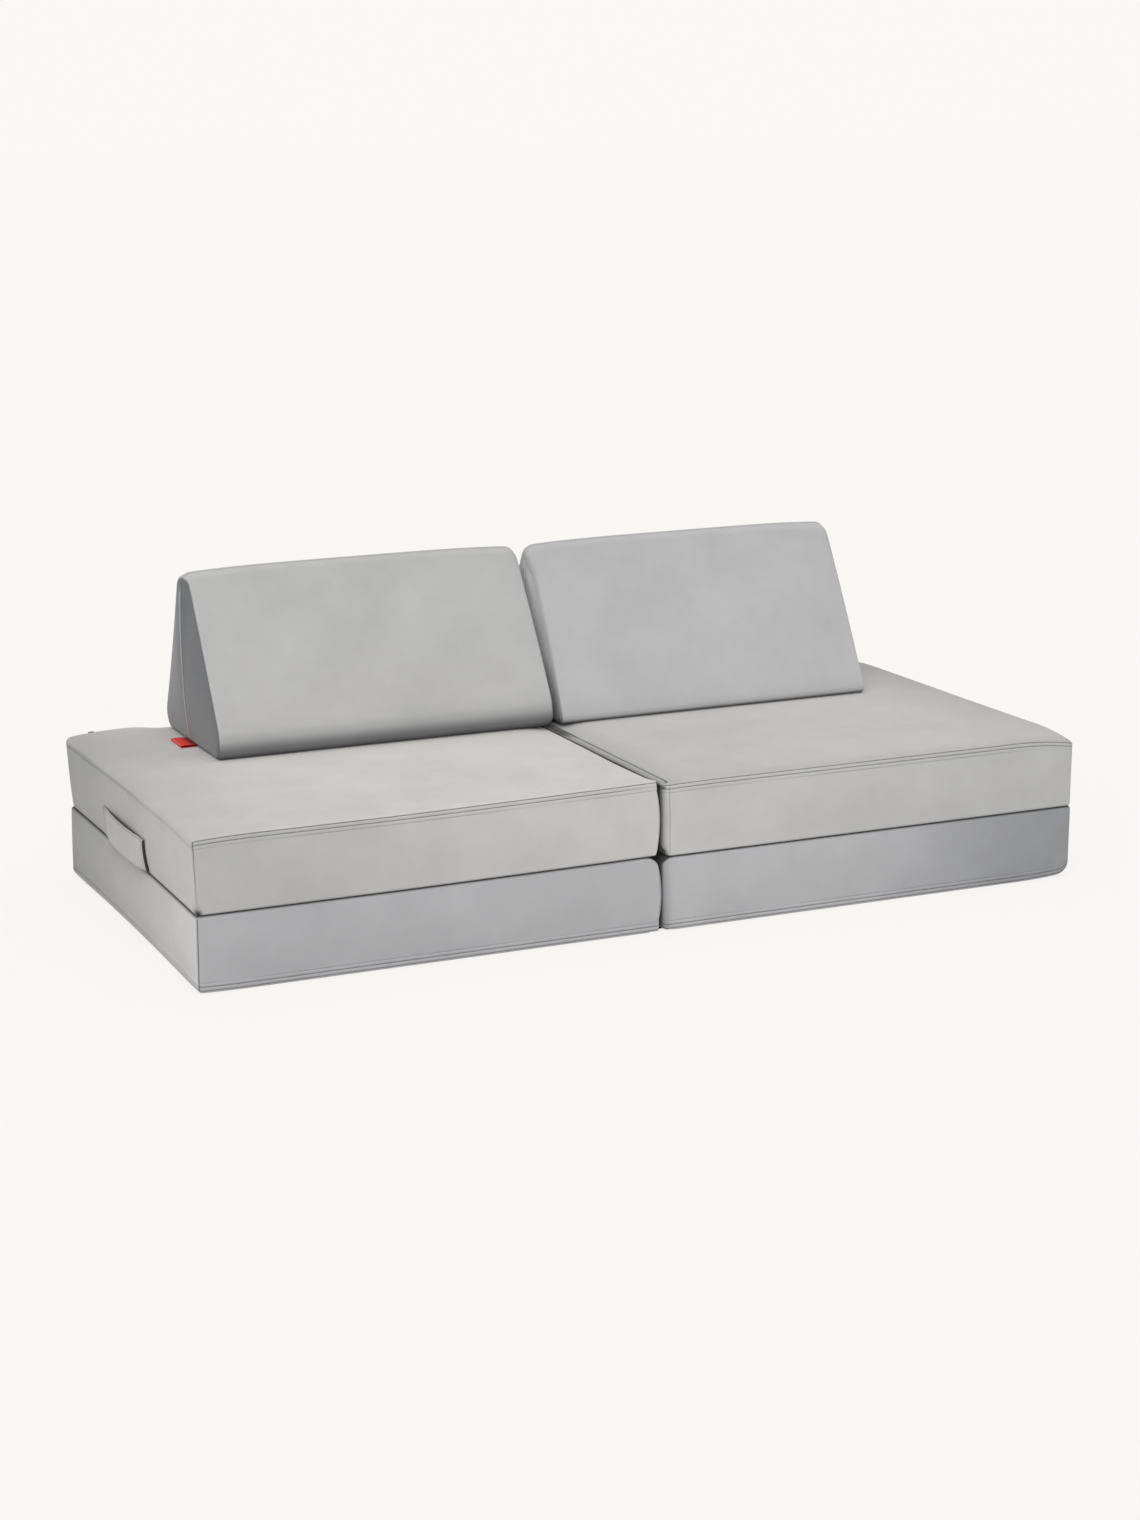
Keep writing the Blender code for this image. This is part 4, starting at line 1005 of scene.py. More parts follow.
def inflate(parts):
    """Swell all cushions together under air pressure, each held at its seams."""
    scene = bpy.context.scene
    starts = []
    for part in parts:
        obj = part["object"]
        starts.append(places(obj))
        held = obj.vertex_groups.new(name="held")
        held.add([int(i) for i in np.nonzero(part["free"] < 0.02)[0]], 1.0, "REPLACE")
        cloth = obj.modifiers.new("cloth", "CLOTH")
        settings = cloth.settings
        settings.quality = 5
        settings.mass = 0.3
        settings.tension_stiffness = 20
        settings.compression_stiffness = 20
        settings.shear_stiffness = 8
        settings.bending_stiffness = 2
        settings.use_pressure = True
        settings.uniform_pressure_force = PRESSURE
        settings.vertex_group_mass = "held"
        settings.pin_stiffness = 1.0
        settings.effector_weights.gravity = 0.0
        cloth.point_cache.frame_start = 1
        cloth.point_cache.frame_end = LAST_FRAME
    for number in range(1, LAST_FRAME + 1):
        scene.frame_set(number)
    depsgraph = bpy.context.evaluated_depsgraph_get()
    for part, start in zip(parts, starts):
        obj = part["object"]
        result = obj.evaluated_get(depsgraph).data
        co = np.empty(len(result.vertices) * 3)
        result.vertices.foreach_get("co", co)
        part["moved"] = co.reshape(-1, 3) - start
    for part, start in zip(parts, starts):
        obj = part["object"]
        obj.modifiers.clear()
        obj.vertex_groups.clear()
        move = part["moved"]
        far = np.linalg.norm(move, axis=1, keepdims=True)
        limit = part["limit"]
        share = limit * np.tanh(far / limit) / np.maximum(far, 1e-9)
        set_places(obj, start + move * share * part["free"][:, None])
    scene.frame_set(1)


# Materials


def add_node(tree, kind, **values):
    node = tree.nodes.new(kind)
    for key, value in values.items():
        setattr(node, key, value)
    return node


def pile_group():
    """Cloudy pile and fine fibres of velvet, from its tone with painted light and shade, its coolness and the painted
    shade of its seams: colour and height.
    """
    group = bpy.data.node_groups.new("velvet pile", "ShaderNodeTree")
    face = group.interface
    face.new_socket("Vector", in_out="INPUT", socket_type="NodeSocketVector")
    for name, value in (("Cloud", 0.05), ("Cloud Scale", 9.0), ("Fibre", 0.05), ("Fibre Scale", 900.0)):
        socket = face.new_socket(name, in_out="INPUT", socket_type="NodeSocketFloat")
        socket.default_value = value
    for name, value in (("Nap_and_painted_light", 0.6), ("Cool", 0.0), ("Seam", 0.0)):
        face.new_socket(name, in_out="INPUT", socket_type="NodeSocketFloat").default_value = value
    for name, value in (("Light", PILE_LIGHT), ("Dark", PILE_DARK)):
        face.new_socket(name, in_out="INPUT", socket_type="NodeSocketColor").default_value = value
    face.new_socket("Color", in_out="OUTPUT", socket_type="NodeSocketColor")
    face.new_socket("Height", in_out="OUTPUT", socket_type="NodeSocketFloat")
    source = add_node(group, "NodeGroupInput")
    result = add_node(group, "NodeGroupOutput")
    link = group.links.new

    def noise(scale_socket, factor, detail):
        node = add_node(group, "ShaderNodeTexNoise")
        node.inputs["Detail"].default_value = detail
        link(source.outputs["Vector"], node.inputs["Vector"])
        scale = add_node(group, "ShaderNodeMath", operation="MULTIPLY")
        scale.inputs[1].default_value = factor
        link(source.outputs[scale_socket], scale.inputs[0])
        link(scale.outputs[0], node.inputs["Scale"])
        centred = add_node(group, "ShaderNodeMath", operation="SUBTRACT")
        centred.inputs[1].default_value = 0.5
        link(node.outputs["Fac"], centred.inputs[0])
        return centred.outputs[0]

    def scaled(value, socket, factor):
        first = add_node(group, "ShaderNodeMath", operation="MULTIPLY")
        link(value, first.inputs[0])
        link(source.outputs[socket], first.inputs[1])
        second = add_node(group, "ShaderNodeMath", operation="MULTIPLY")
        link(first.outputs[0], second.inputs[0])
        second.inputs[1].default_value = factor
        return second.outputs[0]

    def total(*values):
        value = values[0]
        for other in values[1:]:
            node = add_node(group, "ShaderNodeMath", operation="ADD")
            link(value, node.inputs[0])
            link(other, node.inputs[1])
            value = node.outputs[0]
        return value

    broad = scaled(noise("Cloud Scale", 1.0, 2.0), "Cloud", 4.0)
    patch = scaled(noise("Cloud Scale", 4.3, 3.0), "Cloud", 1.6)
    fibre = noise("Fibre Scale", 1.0, 2.0)
    speck = scaled(fibre, "Fibre", 2.0)
    shade = add_node(group, "ShaderNodeMath", operation="ADD")
    link(total(broad, patch, speck), shade.inputs[0])
    shade.inputs[1].default_value = 1.0
    # Painted shade: the seam attribute darkens the colour
    seam_painted_shade = add_node(group, "ShaderNodeMath", operation="MULTIPLY_ADD")
    link(source.outputs["Seam"], seam_painted_shade.inputs[0])
    seam_painted_shade.inputs[1].default_value = -0.92
    seam_painted_shade.inputs[2].default_value = 1.0
    shaded = add_node(group, "ShaderNodeMath", operation="MULTIPLY")
    link(shade.outputs[0], shaded.inputs[0])
    link(seam_painted_shade.outputs[0], shaded.inputs[1])
    tone = add_node(group, "ShaderNodeMix", data_type="RGBA")
    link(source.outputs["Nap_and_painted_light"], tone.inputs["Factor"])
    link(source.outputs["Dark"], tone.inputs["A"])
    link(source.outputs["Light"], tone.inputs["B"])
    cast = add_node(group, "ShaderNodeMix", data_type="RGBA")
    link(source.outputs["Cool"], cast.inputs["Factor"])
    cast.inputs["A"].default_value = (1.012, 1.0, 0.985, 1.0)
    cast.inputs["B"].default_value = (0.985, 0.992, 1.045, 1.0)
    tinted = add_node(group, "ShaderNodeVectorMath", operation="MULTIPLY")
    link(tone.outputs["Result"], tinted.inputs[0])
    link(cast.outputs["Result"], tinted.inputs[1])
    colour = add_node(group, "ShaderNodeVectorMath", operation="SCALE")
    link(tinted.outputs[0], colour.inputs[0])
    link(shaded.outputs[0], colour.inputs["Scale"])
    link(colour.outputs[0], result.inputs["Color"])
    link(fibre, result.inputs["Height"])
    return group


def velvet(name, pile, light=PILE_LIGHT, dark=PILE_DARK, sheen=0.25):
    """Short velvet: the tone of each panel, with painted light and shade, sets its colour, and painted shade darkens
    the seams.
    """
    material = bpy.data.materials.new(name)
    material.use_nodes = True
    tree = material.node_tree
    shader = tree.nodes["Principled BSDF"]
    shader.inputs["Roughness"].default_value = 0.92
    shader.inputs["Specular IOR Level"].default_value = 0.25
    shader.inputs["Sheen Weight"].default_value = sheen
    shader.inputs["Sheen Roughness"].default_value = 0.45
    place = add_node(tree, "ShaderNodeTexCoord")
    group = add_node(tree, "ShaderNodeGroup")
    group.node_tree = pile
    tree.links.new(place.outputs["Object"], group.inputs["Vector"])
    for key in ("nap_and_painted_light", "cool", "seam"):
        attribute = add_node(tree, "ShaderNodeAttribute", attribute_name=key)
        tree.links.new(attribute.outputs["Fac"], group.inputs[key.capitalize()])
    group.inputs["Light"].default_value = light
    group.inputs["Dark"].default_value = dark
    tree.links.new(group.outputs["Color"], shader.inputs["Base Color"])
    bump = add_node(tree, "ShaderNodeBump")
    bump.inputs["Strength"].default_value = 0.35
    bump.inputs["Distance"].default_value = 0.0006
    tree.links.new(group.outputs["Height"], bump.inputs["Height"])
    tree.links.new(bump.outputs["Normal"], shader.inputs["Normal"])
    return material


def plain_metal(name):
    """Brushed nickel of the zip sliders and pulls."""
    material = bpy.data.materials.new(name)
    material.use_nodes = True
    tree = material.node_tree
    shader = tree.nodes["Principled BSDF"]
    shader.inputs["Metallic"].default_value = 1.0
    place = add_node(tree, "ShaderNodeTexCoord")
    noise = add_node(tree, "ShaderNodeTexNoise")
    noise.inputs["Scale"].default_value = 300.0
    noise.inputs["Detail"].default_value = 4.0
    tree.links.new(place.outputs["Object"], noise.inputs["Vector"])
    ramp = add_node(tree, "ShaderNodeMapRange")
    ramp.inputs["To Min"].default_value = 0.25
    ramp.inputs["To Max"].default_value = 0.45
    tree.links.new(noise.outputs["Fac"], ramp.inputs["Value"])
    tree.links.new(ramp.outputs["Result"], shader.inputs["Roughness"])
    tint = add_node(tree, "ShaderNodeMix", data_type="RGBA")
    tint.inputs["A"].default_value = (0.50, 0.50, 0.51, 1.0)
    tint.inputs["B"].default_value = (0.62, 0.62, 0.63, 1.0)
    tree.links.new(noise.outputs["Fac"], tint.inputs["Factor"])
    tree.links.new(tint.outputs["Result"], shader.inputs["Base Color"])
    return material


def weave_group():
    """Fine crossed threads: a shade and a height from the first two axes of its vector."""
    group = bpy.data.node_groups.new("crossed threads", "ShaderNodeTree")
    face = group.interface
    face.new_socket("Vector", in_out="INPUT", socket_type="NodeSocketVector")
    for name, value in (("Warp", 900.0), ("Weft", 700.0)):
        face.new_socket(name, in_out="INPUT", socket_type="NodeSocketFloat").default_value = value
    face.new_socket("Shade", in_out="OUTPUT", socket_type="NodeSocketFloat")
    face.new_socket("Height", in_out="OUTPUT", socket_type="NodeSocketFloat")
    source = add_node(group, "NodeGroupInput")
    result = add_node(group, "NodeGroupOutput")
    link = group.links.new
    axes = add_node(group, "ShaderNodeSeparateXYZ")
    link(source.outputs["Vector"], axes.inputs[0])
    waves = []
    for axis, key in (("X", "Warp"), ("Y", "Weft")):
        turns = add_node(group, "ShaderNodeMath", operation="MULTIPLY")
        link(axes.outputs[axis], turns.inputs[0])
        link(source.outputs[key], turns.inputs[1])
        wave = add_node(group, "ShaderNodeMath", operation="SINE")
        link(turns.outputs[0], wave.inputs[0])
        waves.append(wave.outputs[0])
    crossed = add_node(group, "ShaderNodeMath", operation="MULTIPLY")
    link(waves[0], crossed.inputs[0])
    link(waves[1], crossed.inputs[1])
    noise = add_node(group, "ShaderNodeTexNoise")
    noise.inputs["Scale"].default_value = 160.0
    link(source.outputs["Vector"], noise.inputs["Vector"])
    mixed = add_node(group, "ShaderNodeMath", operation="MULTIPLY_ADD")
    link(crossed.outputs[0], mixed.inputs[0])
    mixed.inputs[1].default_value = 0.25
    link(noise.outputs["Fac"], mixed.inputs[2])
    link(mixed.outputs[0], result.inputs["Height"])
    shade = add_node(group, "ShaderNodeMapRange")
    shade.inputs["From Min"].default_value = 0.2
    shade.inputs["From Max"].default_value = 0.8
    shade.inputs["To Min"].default_value = 0.8
    shade.inputs["To Max"].default_value = 1.1
    link(mixed.outputs[0], shade.inputs["Value"])
    link(shade.outputs["Result"], result.inputs["Shade"])
    return group


def woven(name, weave, colour, axes, threads, roughness, height, seam=False):
    """Woven ribbon, tape or thread, with its threads along two axes of the piece."""
    material = bpy.data.materials.new(name)
    material.use_nodes = True
    tree = material.node_tree
    shader = tree.nodes["Principled BSDF"]
    shader.inputs["Roughness"].default_value = roughness
    shader.inputs["Specular IOR Level"].default_value = 0.35
    place = add_node(tree, "ShaderNodeTexCoord")
    split = add_node(tree, "ShaderNodeSeparateXYZ")
    tree.links.new(place.outputs["Object"], split.inputs[0])
    laid = add_node(tree, "ShaderNodeCombineXYZ")
    for axis, socket in zip(axes, "XY"):
        tree.links.new(split.outputs[axis], laid.inputs[socket])
    group = add_node(tree, "ShaderNodeGroup")
    group.node_tree = weave
    tree.links.new(laid.outputs[0], group.inputs["Vector"])
    group.inputs["Warp"].default_value, group.inputs["Weft"].default_value = threads
    base = add_node(tree, "ShaderNodeRGB")
    base.outputs[0].default_value = (*colour, 1.0)
    shaded = add_node(tree, "ShaderNodeVectorMath", operation="SCALE")
    tree.links.new(base.outputs[0], shaded.inputs[0])
    tree.links.new(group.outputs["Shade"], shaded.inputs["Scale"])
    result = shaded.outputs[0]
    # Painted shade from the seam attribute darkens the ribbon
    if seam:
        attribute = add_node(tree, "ShaderNodeAttribute", attribute_name="seam")
        left = add_node(tree, "ShaderNodeMath", operation="SUBTRACT")
        left.inputs[0].default_value = 1.0
        tree.links.new(attribute.outputs["Fac"], left.inputs[1])
        darker = add_node(tree, "ShaderNodeVectorMath", operation="SCALE")
        tree.links.new(result, darker.inputs[0])
        tree.links.new(left.outputs[0], darker.inputs["Scale"])
        result = darker.outputs[0]
    tree.links.new(result, shader.inputs["Base Color"])
    bump = add_node(tree, "ShaderNodeBump")
    bump.inputs["Strength"].default_value = 0.5
    bump.inputs["Distance"].default_value = height
    tree.links.new(group.outputs["Height"], bump.inputs["Height"])
    tree.links.new(bump.outputs["Normal"], shader.inputs["Normal"])
    return material


# Dressing the cushions


def border_lines(part, wanted):
    """Lines along rows of a half's border, over its front, end and back, just proud of it."""
    points = places(part["object"])
    normals = np.array([v.normal[:] for v in part["object"].data.vertices])
    shown = [key for key in part["ring"] if key[0] > 0]
    lines = []
    for row in wanted:
        index = [part["number"][row, i, j] for i, j in shown]
        lines.append(points[index] + normals[index] * 0.00015)
    return lines


def placket_lines(prefix, tree, reach):
    """Sewing lines above and below a mattress zip, on the cushion beside its slot."""
    low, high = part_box(f"{prefix}_zip")
    lines = []
    for level in (low.z - 0.0062, high.z + 0.0058):
        line = []
        for x in np.linspace(low.x, high.x, 120):
            hit = tree.ray_cast(Vector((x, reach, level)), Vector((0, -1, 0)))[0]
            line.append((hit.x, hit.y + 0.0002, hit.z))
        lines.append(line)
    return lines


def lay_coil(prefix, beads, nylon, turn):
    """Coil of a zip along the middle of its tape, square to the tape's face."""
    low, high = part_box(f"{prefix}_zip")
    normal = Vector((0, math.cos(turn), math.sin(turn)))
    centre = (low + high) / 2
    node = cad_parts[f"{prefix}_zip"]
    hit = surface_tree(node).ray_cast(centre + normal * 0.05, -normal)[0]
    middle = centre + normal * (hit - centre).dot(normal)
    placed = Matrix.Translation((0, middle.y, middle.z)) @ Matrix.Rotation(turn, 4, "X")
    line = [(x, 0.0, 0.0) for x in (low.x + 0.004, high.x - 0.004)]
    lay_beads(f"{prefix}_coil", beads, [line], nylon, prefix, "zip_tape", turned=placed,
              Pitch=0.0017, Length=0.0015, Width=0.0056, Height=0.0014)


def dress_handles(parts, cover, beads, thread, stitches):
    # Tones of each strap from its back end to its front, with painted shade in them
    for mattress, side, prefix, shaded_tones in (("seat", -1, "seat_left", (0.42, 0.66)), ("base", 1, "base_right", (0.5, 0.5))):
        node = f"{mattress}_handle"
        low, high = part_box(node)
        cushion = next(part["object"] for part in parts if part["prefix"] == prefix)
        strap, flat, lines = make_strap(f"{mattress}_carrying_strap", side, low, high, cushion, shaded_tones)
        strap.data.materials.append(cover)
        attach(strap, prefix)
        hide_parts(node)
        stitches[prefix] += lines


def dress_folds(cover, stitches):
    """Strips of cloth that join the halves of each mattress along its fold."""
    seat, flat = make_strip(
        "seat_fold_strip", SEAT_STRIP, (0.4185, 0.009), (SEAT_SEAM_LEVEL - 0.0012, 1, 0.0003), 0.5, dark_from=-0.06)
    base, base_flat = make_strip(
        "base_fold_strip", BASE_STRIP, (0.402, 0.0), (0.0012, -1, 0.0), 0.5)
    for strip, size, mattress in ((seat, flat, "seat"), (base, base_flat, "base")):
        strip.data.materials.append(cover)
        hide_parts(f"{mattress}_left_hinge_leaf", f"{mattress}_right_hinge_leaf")
        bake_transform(strip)
    top = SEAT_SEAM_LEVEL + 0.0001
    stitches["seat_right"].append([(0.0158 + 0.0003 * (math.sin(41 * y) + 0.6 * math.sin(97 * y + 1)), y, top - 0.0007)
                                   for y in np.linspace(-0.405, 0.405, 160)])


def dress_tabs(parts, cover, ribbon, stitches):
    """Red label in the foot of the left wedge's end, and the end of the seat's back seam."""
    seat = next(part["object"] for part in parts if part["prefix"] == "seat_left")
    tree = surface_tree(seat)
    low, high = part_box("wedge_left_label")
    rest = tree.ray_cast(Vector((low.x, (low.y + high.y) / 2, 1.0)), Vector((0, 0, -1)))[0].z
    seam = Vector((high.x, (low.y + high.y) / 2, 0.2768))
    fall = (seam.z - (rest + 0.0026)) / (high.x - low.x)
    label, flat, line = folded_tab(
        "wedge_left_folded_label", seam, (-1, 0, -fall), (0, 1, 0),
        (high.x - low.x, high.y - low.y), 0.0019, 0.0005, -0.003)
    label.data.materials.append(ribbon)
    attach(label, "wedge_left")
    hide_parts("wedge_left_label")
    stitches["wedge_left"].append(line)
    x, y = -0.797, DEPTH / 2 - 0.0035
    top = tree.ray_cast(Vector((x, y, 1.0)), Vector((0, 0, -1)))[0].z
    tab, flat, line = folded_tab(
        "seat_left_seam_end", (x, y, top - 0.0042), (0, 0.3, 1), (1, 0, 0), (0.0064, 0.0105), 0.0013, 0.0007, 0.001)
    count = len(tab.data.vertices)
    set_attribute(tab, "nap_and_painted_light", np.full(count, 0.1))
    set_attribute(tab, "cool", np.full(count, 0.4))
    tab.data.materials.append(cover)
    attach(tab, "seat_left")


def dress_zips(parts, wedges, beads, tape, nylon, metal, stitches):
    """Tape, coil and metal of the six zips, with the sewing along the mattress ones."""
    for name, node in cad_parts.items():
        finish = tape if name.endswith("_zip") else metal if "_zip_" in name else None
        if finish:
            for slot in node.material_slots:
                slot.material = finish
    for part in parts:
        lay_coil(part["prefix"], beads, nylon, 0.0)
        stitches[part["prefix"]] += placket_lines(part["prefix"], surface_tree(part["object"]), 0.5)
    for part in wedges:
        lay_coil(part["prefix"], beads, nylon, part["back_turn"])


# Floor and light


def make_floor():
    """Plain pale floor that shows white where no shadow falls."""
    reach = 60.0
    corners = [(-reach, -reach, 0), (reach, -reach, 0), (reach, reach, 0), (-reach, reach, 0)]
    floor = new_object("floor", corners, [(0, 1, 2, 3)])
    floor.location.z = -0.0006
    material = bpy.data.materials.new("pale floor")
    material.use_nodes = True
    tree = material.node_tree
    tree.nodes.clear()
    output = add_node(tree, "ShaderNodeOutputMaterial")
    seen = add_node(tree, "ShaderNodeLightPath")
    anyway = add_node(tree, "ShaderNodeMath", operation="MAXIMUM")
    tree.links.new(seen.outputs["Is Camera Ray"], anyway.inputs[0])
    tree.links.new(seen.outputs["Is Glossy Ray"], anyway.inputs[1])
    through = add_node(tree, "ShaderNodeMath", operation="MAXIMUM")
    tree.links.new(anyway.outputs[0], through.inputs[0])
    tree.links.new(seen.outputs["Is Transmission Ray"], through.inputs[1])
    bounced = add_node(tree, "ShaderNodeBsdfDiffuse")
    bounced.inputs["Color"].default_value = (0.8, 0.8, 0.79, 1.0)
    shown = add_node(tree, "ShaderNodeBsdfDiffuse")
    shown.inputs["Color"].default_value = (FLOOR_SHADE, FLOOR_SHADE, FLOOR_SHADE, 1.0)
    glow = add_node(tree, "ShaderNodeEmission")
    glow.inputs["Color"].default_value = tuple(c - FLOOR_SHADE * FLOOR_LIGHT for c in ROOM_WHITE) + (1.0,)
    seen_floor = add_node(tree, "ShaderNodeAddShader")
    tree.links.new(shown.outputs[0], seen_floor.inputs[0])
    tree.links.new(glow.outputs[0], seen_floor.inputs[1])
    pick = add_node(tree, "ShaderNodeMixShader")
    tree.links.new(through.outputs[0], pick.inputs[0])
    tree.links.new(bounced.outputs[0], pick.inputs[1])
    tree.links.new(seen_floor.outputs[0], pick.inputs[2])
    tree.links.new(pick.outputs[0], output.inputs["Surface"])
    floor.data.materials.append(material)


def make_world(strength):
    """White room: white where it is seen, and a soft light on the object."""
    world = bpy.data.worlds.new("white room")
    bpy.context.scene.world = world
    world.use_nodes = True
    tree = world.node_tree
    background = tree.nodes["Background"]
    background.inputs["Color"].default_value = (*ROOM_WHITE, 1.0)
    seen = add_node(tree, "ShaderNodeLightPath")
    first = add_node(tree, "ShaderNodeMath", operation="MAXIMUM")
    tree.links.new(seen.outputs["Is Camera Ray"], first.inputs[0])
    tree.links.new(seen.outputs["Is Glossy Ray"], first.inputs[1])
    second = add_node(tree, "ShaderNodeMath", operation="MAXIMUM")
    tree.links.new(first.outputs[0], second.inputs[0])
    tree.links.new(seen.outputs["Is Transmission Ray"], second.inputs[1])
    level = add_node(tree, "ShaderNodeMapRange")
    level.inputs["To Min"].default_value = strength
    level.inputs["To Max"].default_value = 1.0
    tree.links.new(second.outputs[0], level.inputs["Value"])
    tree.links.new(level.outputs["Result"], background.inputs["Strength"])


def make_sun(name, direction, spread, strength):
    """Distant soft lamp that shines along a direction."""
    data = bpy.data.lights.new(name, "SUN")
    data.angle = math.radians(spread)
    data.energy = strength
    lamp = bpy.data.objects.new(name, data)
    bpy.context.collection.objects.link(lamp)
    lamp.rotation_euler = Vector(direction).to_track_quat("-Z", "Y").to_euler()


def make_light():
    """Even room light, a soft key from the front left and a soft lamp overhead."""
    make_world(0.50)
    make_sun("key lamp", (0.45, 0.75, -0.62), 50, 1.35)
    make_sun("top lamp", (-0.1, -0.05, -1.0), 60, 0.75)


# Tones and coolness are of the seamed face, front, end, back, fold side and plain face; the
# tones are the velvet's tone with the light and shade of each face painted in. A pair of
# tones is near the fold and near the end, or in front and at the back on an end. Dips,
# corners and rolls run fold to end. A lean is outward at the end, above and below, in front
# and at the back. A groove is a column of the border, its depth and how much it fades. The
# keys for shade, under the fold and at the end's crease set painted shade.
SEAT_LEFT = {
    "crown": CROWN, "dips": (0.0, 0.004, 0.0, 0.009), "dip_reach": 0.11, "rolls": (0.0015, 0.008, 0.004, 0.005),
    "corners": (0.004, 0.005, 0.006, 0.024), "grooves": ((-3, 0.0022, 0.75),), "end_swell": END_SWELL,
    "fold_swell": 0.006, "limit": 0.004, "strip": 0.0, "lip": 0.09, "pinch": 0.006,
    "lean": ((0.006, 0.003), (0.011, 0.002)), "run": (0.0, 1.0), "front_shade": 0.03,
    "fold_shade": (0.004, 0.0), "front_bulge": 0.003, "back_rise": 0.0065, "handle": "seat_handle",
    "fold_rise": (-0.0065, -0.004), "under_fold_shade": 0.0, "fold_draw": (0.0040, 0.0045), "panel_shade": 0.0, "groove_shade": 0.9,
    "end_crease_shade": 1.0, "end_shade": 0.36,
    "shaded_tones": ((0.82, 0.78), (0.76, 0.58), (0.74, 0.24), (0.6, 0.6), (0.7, 0.7), (0.5, 0.5)),
    "cool": (0.2, 0.5, 0.2, 0.4, 0.5, 0.5),
}
SEAT_RIGHT = {
    "crown": CROWN, "dips": (0.002, 0.012, 0.0, 0.006), "dip_reach": 0.12, "rolls": (0.002, 0.007, 0.019, 0.006),
    "corners": (0.016, 0.007, 0.010, 0.014), "grooves": ((7, 0.0020, 0.0),), "end_swell": END_SWELL,
    "fold_swell": 0.001, "limit": 0.004, "strip": LEAF_WIDTH, "lip": 0.0, "pinch": 0.0,
    "lean": ((0.005, 0.0025), (0.0, 0.0)), "run": (0.0, 1.0), "front_shade": 0.12,
    "fold_shade": (0.014, 0.62), "front_bulge": 0.0, "back_rise": 0.0, "handle": None,
    "fold_rise": (0.0, 0.0), "under_fold_shade": 1.0, "fold_draw": (0.0, 0.0), "panel_shade": 0.12, "groove_shade": 0.4,
    "end_crease_shade": 1.0, "end_shade": 0.34,
    "shaded_tones": ((0.645, 0.70), (0.72, 0.60), (0.6, 0.6), (0.6, 0.6), (0.6, 0.6), (0.5, 0.5)),
    "cool": (0.4, 0.6, 0.5, 0.4, 0.5, 0.5),
}
BASE_LEFT = {
    "crown": 0.0, "dips": (0.0, 0.002, 0.0, 0.002), "dip_reach": 0.1, "rolls": (0.006, 0.010, 0.026, 0.003),
    "corners": (0.005, 0.004, 0.006, 0.008), "grooves": ((-3, 0.0018, 0.0),), "end_swell": END_SWELL,
    "fold_swell": 0.005, "limit": 0.004, "strip": LEAF_WIDTH, "lip": 0.0, "pinch": 0.0,
    "lean": ((0.005, 0.003), (0.006, 0.003)), "run": (0.0, 1.0), "front_shade": 0.0,
    "fold_shade": (0.005, 0.0), "front_bulge": 0.0055, "back_rise": 0.0, "handle": None,
    "fold_rise": (0.0, 0.004), "under_fold_shade": 0.0, "fold_draw": (0.0, 0.0), "panel_shade": 0.0, "groove_shade": 0.9,
    "end_crease_shade": 0.3, "end_shade": 0.0,
    "shaded_tones": ((0.5, 0.5), (0.56, 0.52), (0.87, 0.2), (0.55, 0.55), (0.5, 0.5), (0.5, 0.5)),
    "cool": (0.5, 1.0, 0.25, 0.5, 0.8, 0.5),
}
BASE_RIGHT = {
    "crown": 0.0, "dips": (0.0, 0.006, 0.0, 0.004), "dip_reach": 0.12, "rolls": (0.008, 0.027, 0.020, 0.004),
    "corners": (0.010, 0.007, 0.008, 0.014), "grooves": (), "end_swell": END_SWELL,
    "fold_swell": 0.001, "limit": 0.004, "strip": LEAF_WIDTH, "lip": 0.0, "pinch": 0.0,
    "lean": ((0.001, 0.0035), (0.0, 0.0)), "run": (0.40, 0.93), "front_shade": 0.0,
    "fold_shade": (0.020, 0.62), "front_bulge": 0.0, "back_rise": 0.0, "handle": "base_handle",
    "fold_rise": (0.0, 0.0), "under_fold_shade": 0.0, "fold_draw": (0.0, 0.0), "panel_shade": 0.0, "groove_shade": 0.9,
    "end_crease_shade": 0.3, "end_shade": 0.0,
    "shaded_tones": ((0.5, 0.5), (0.58, 0.29), (0.5, 0.5), (0.5, 0.5), (0.5, 0.5), (0.5, 0.5)),
    "cool": (0.5, 1.0, 0.5, 0.5, 0.8, 0.5),
}
# A wedge's tones are its front, back and the front and back halves of its ends, with painted light and shade in them;
# the keys for foot shade, gap shade, gap light, slope light and end light are painted shade and light
WEDGE_LEFT = {
    "feet": ((0.013, 0.060, 0.030), (0.03, 0.03, 0.03)), "limit": 0.004, "shaded_tones": (0.60, 0.6, 0.03, 0.095),
    "reach": 0.006, "end_push": 0.013,
    "slope_light": 0.04, "foot_shade": 0.9, "foot_dark_shade": 0.65, "cool": 0.6, "top_corners": (0.018, 0.024),
    "end_swells": ((0.010, 0.75), (0.001, 1.0)), "gap_side": 1, "gap_shade": 0.6, "gap_lean": (0.0, 0.0), "ridge_lean": 0.002,
    "end_light": (0.05, 0.03), "gap_end_light": 0.45, "gap_foot": 0.014,
}
WEDGE_RIGHT = {
    "feet": ((0.012, 0.012, 0.012), (0.03, 0.03, 0.03)), "limit": 0.004, "shaded_tones": (0.61, 0.6, 0.75, 0.7),
    "reach": 0.005, "end_push": 0.0, "slope_light": 0.05, "foot_shade": 0.10, "foot_dark_shade": 0.0, "cool": 0.85, "top_corners": (0.016, 0.024),
    "end_swells": ((0.001, 1.0), (0.003, 1.0)), "gap_side": -1, "gap_shade": 0.65, "gap_lean": (0.0035, 0.0105), "ridge_lean": 0.0,
    "end_light": (0.0, 0.0), "gap_end_light": 0.95, "gap_foot": 0.006,
}


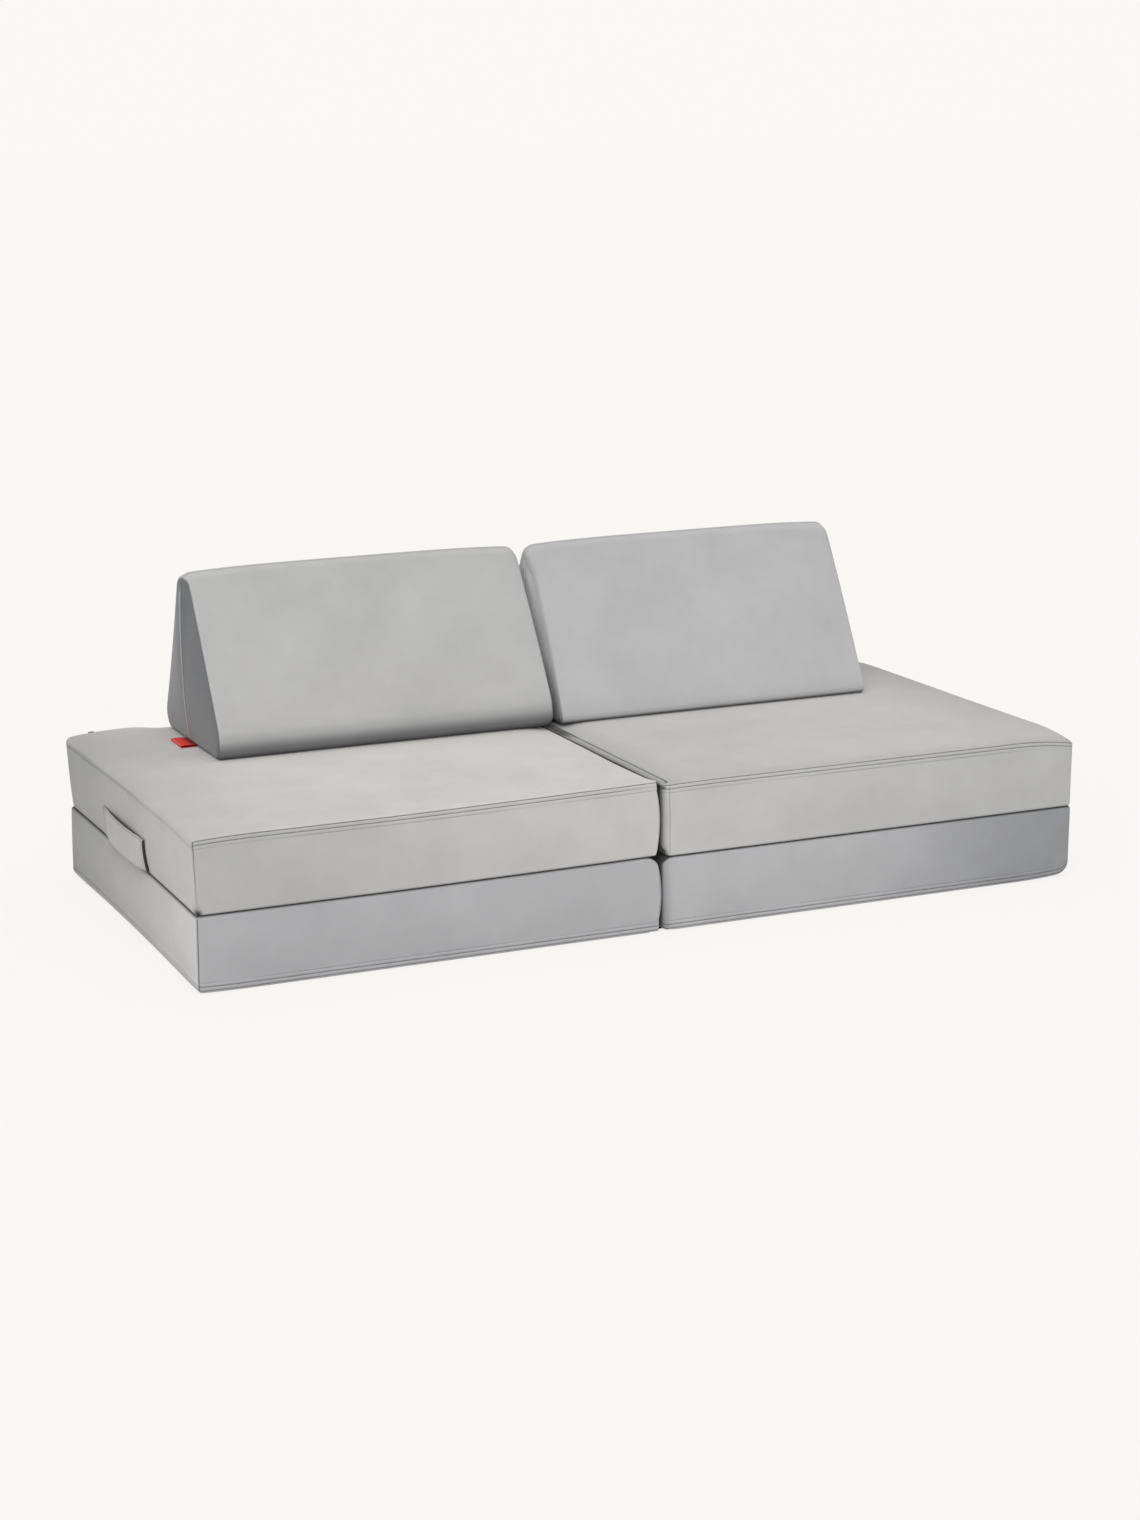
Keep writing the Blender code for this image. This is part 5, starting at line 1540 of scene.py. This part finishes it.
def main():
    make_camera()
    pile, weave, beads = pile_group(), weave_group(), repeat_tree()
    cover = velvet("grey velvet", pile)
    tape = woven("zip tape", weave, (0.30, 0.305, 0.315), "XZ", (5200.0, 4200.0), 0.8, 0.0002)
    nylon = woven("nylon coil", weave, (0.24, 0.245, 0.255), "XZ", (2600.0, 2600.0), 0.45, 0.0001)
    thread = woven("sewing thread", weave, (0.27, 0.272, 0.28), "XY", (3500.0, 3500.0), 0.6, 0.0001)
    ribbon = woven("red ribbon", weave, (0.78, 0.030, 0.018), "XY", (1500.0, 4200.0), 0.5, 0.00012, seam=True)
    metal = plain_metal("brushed nickel")
    halves = [
        build_half("seat_left", -1, True, SEAT_LEFT),
        build_half("seat_right", 1, True, SEAT_RIGHT),
        build_half("base_left", -1, False, BASE_LEFT),
        build_half("base_right", 1, False, BASE_RIGHT),
    ]
    box_left, box_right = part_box("wedge_left_foam"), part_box("wedge_right_foam")
    wedges = [
        build_wedge("wedge_left", (box_left[0].x + box_left[1].x) / 2, WEDGE_LEFT),
        build_wedge("wedge_right", (box_right[0].x + box_right[1].x) / 2, WEDGE_RIGHT),
    ]
    inflate(halves + wedges)
    stitches = {part["body"]: [] for part in halves + wedges}
    for part in halves + wedges:
        obj, prefix = part["object"], part["prefix"]
        obj.data.materials.append(cover)
        subdivide(obj)
        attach(obj, part["body"])
        if part in halves:
            face = "top_panel" if part["face_up"] else "bottom_panel"
            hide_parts(f"{prefix}_cover", f"{prefix}_{face}", f"{prefix}_foam")
            stitches[prefix] += border_lines(part, (5, 9))
        else:
            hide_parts(f"{prefix}_front_panel", f"{prefix}_back_panel", f"{prefix}_foam")
    dress_handles(halves, cover, beads, thread, stitches)
    dress_folds(cover, stitches)
    dress_tabs(halves, cover, ribbon, stitches)
    dress_zips(halves, wedges, beads, tape, nylon, metal, stitches)
    for body, lines in stitches.items():
        if lines:
            lay_beads(f"{body}_stitching", beads, lines, thread, body, "velvet_border",
                      Pitch=0.0036, Length=0.0027, Width=0.0006, Height=0.0006)
    make_floor()
    make_light()


main()
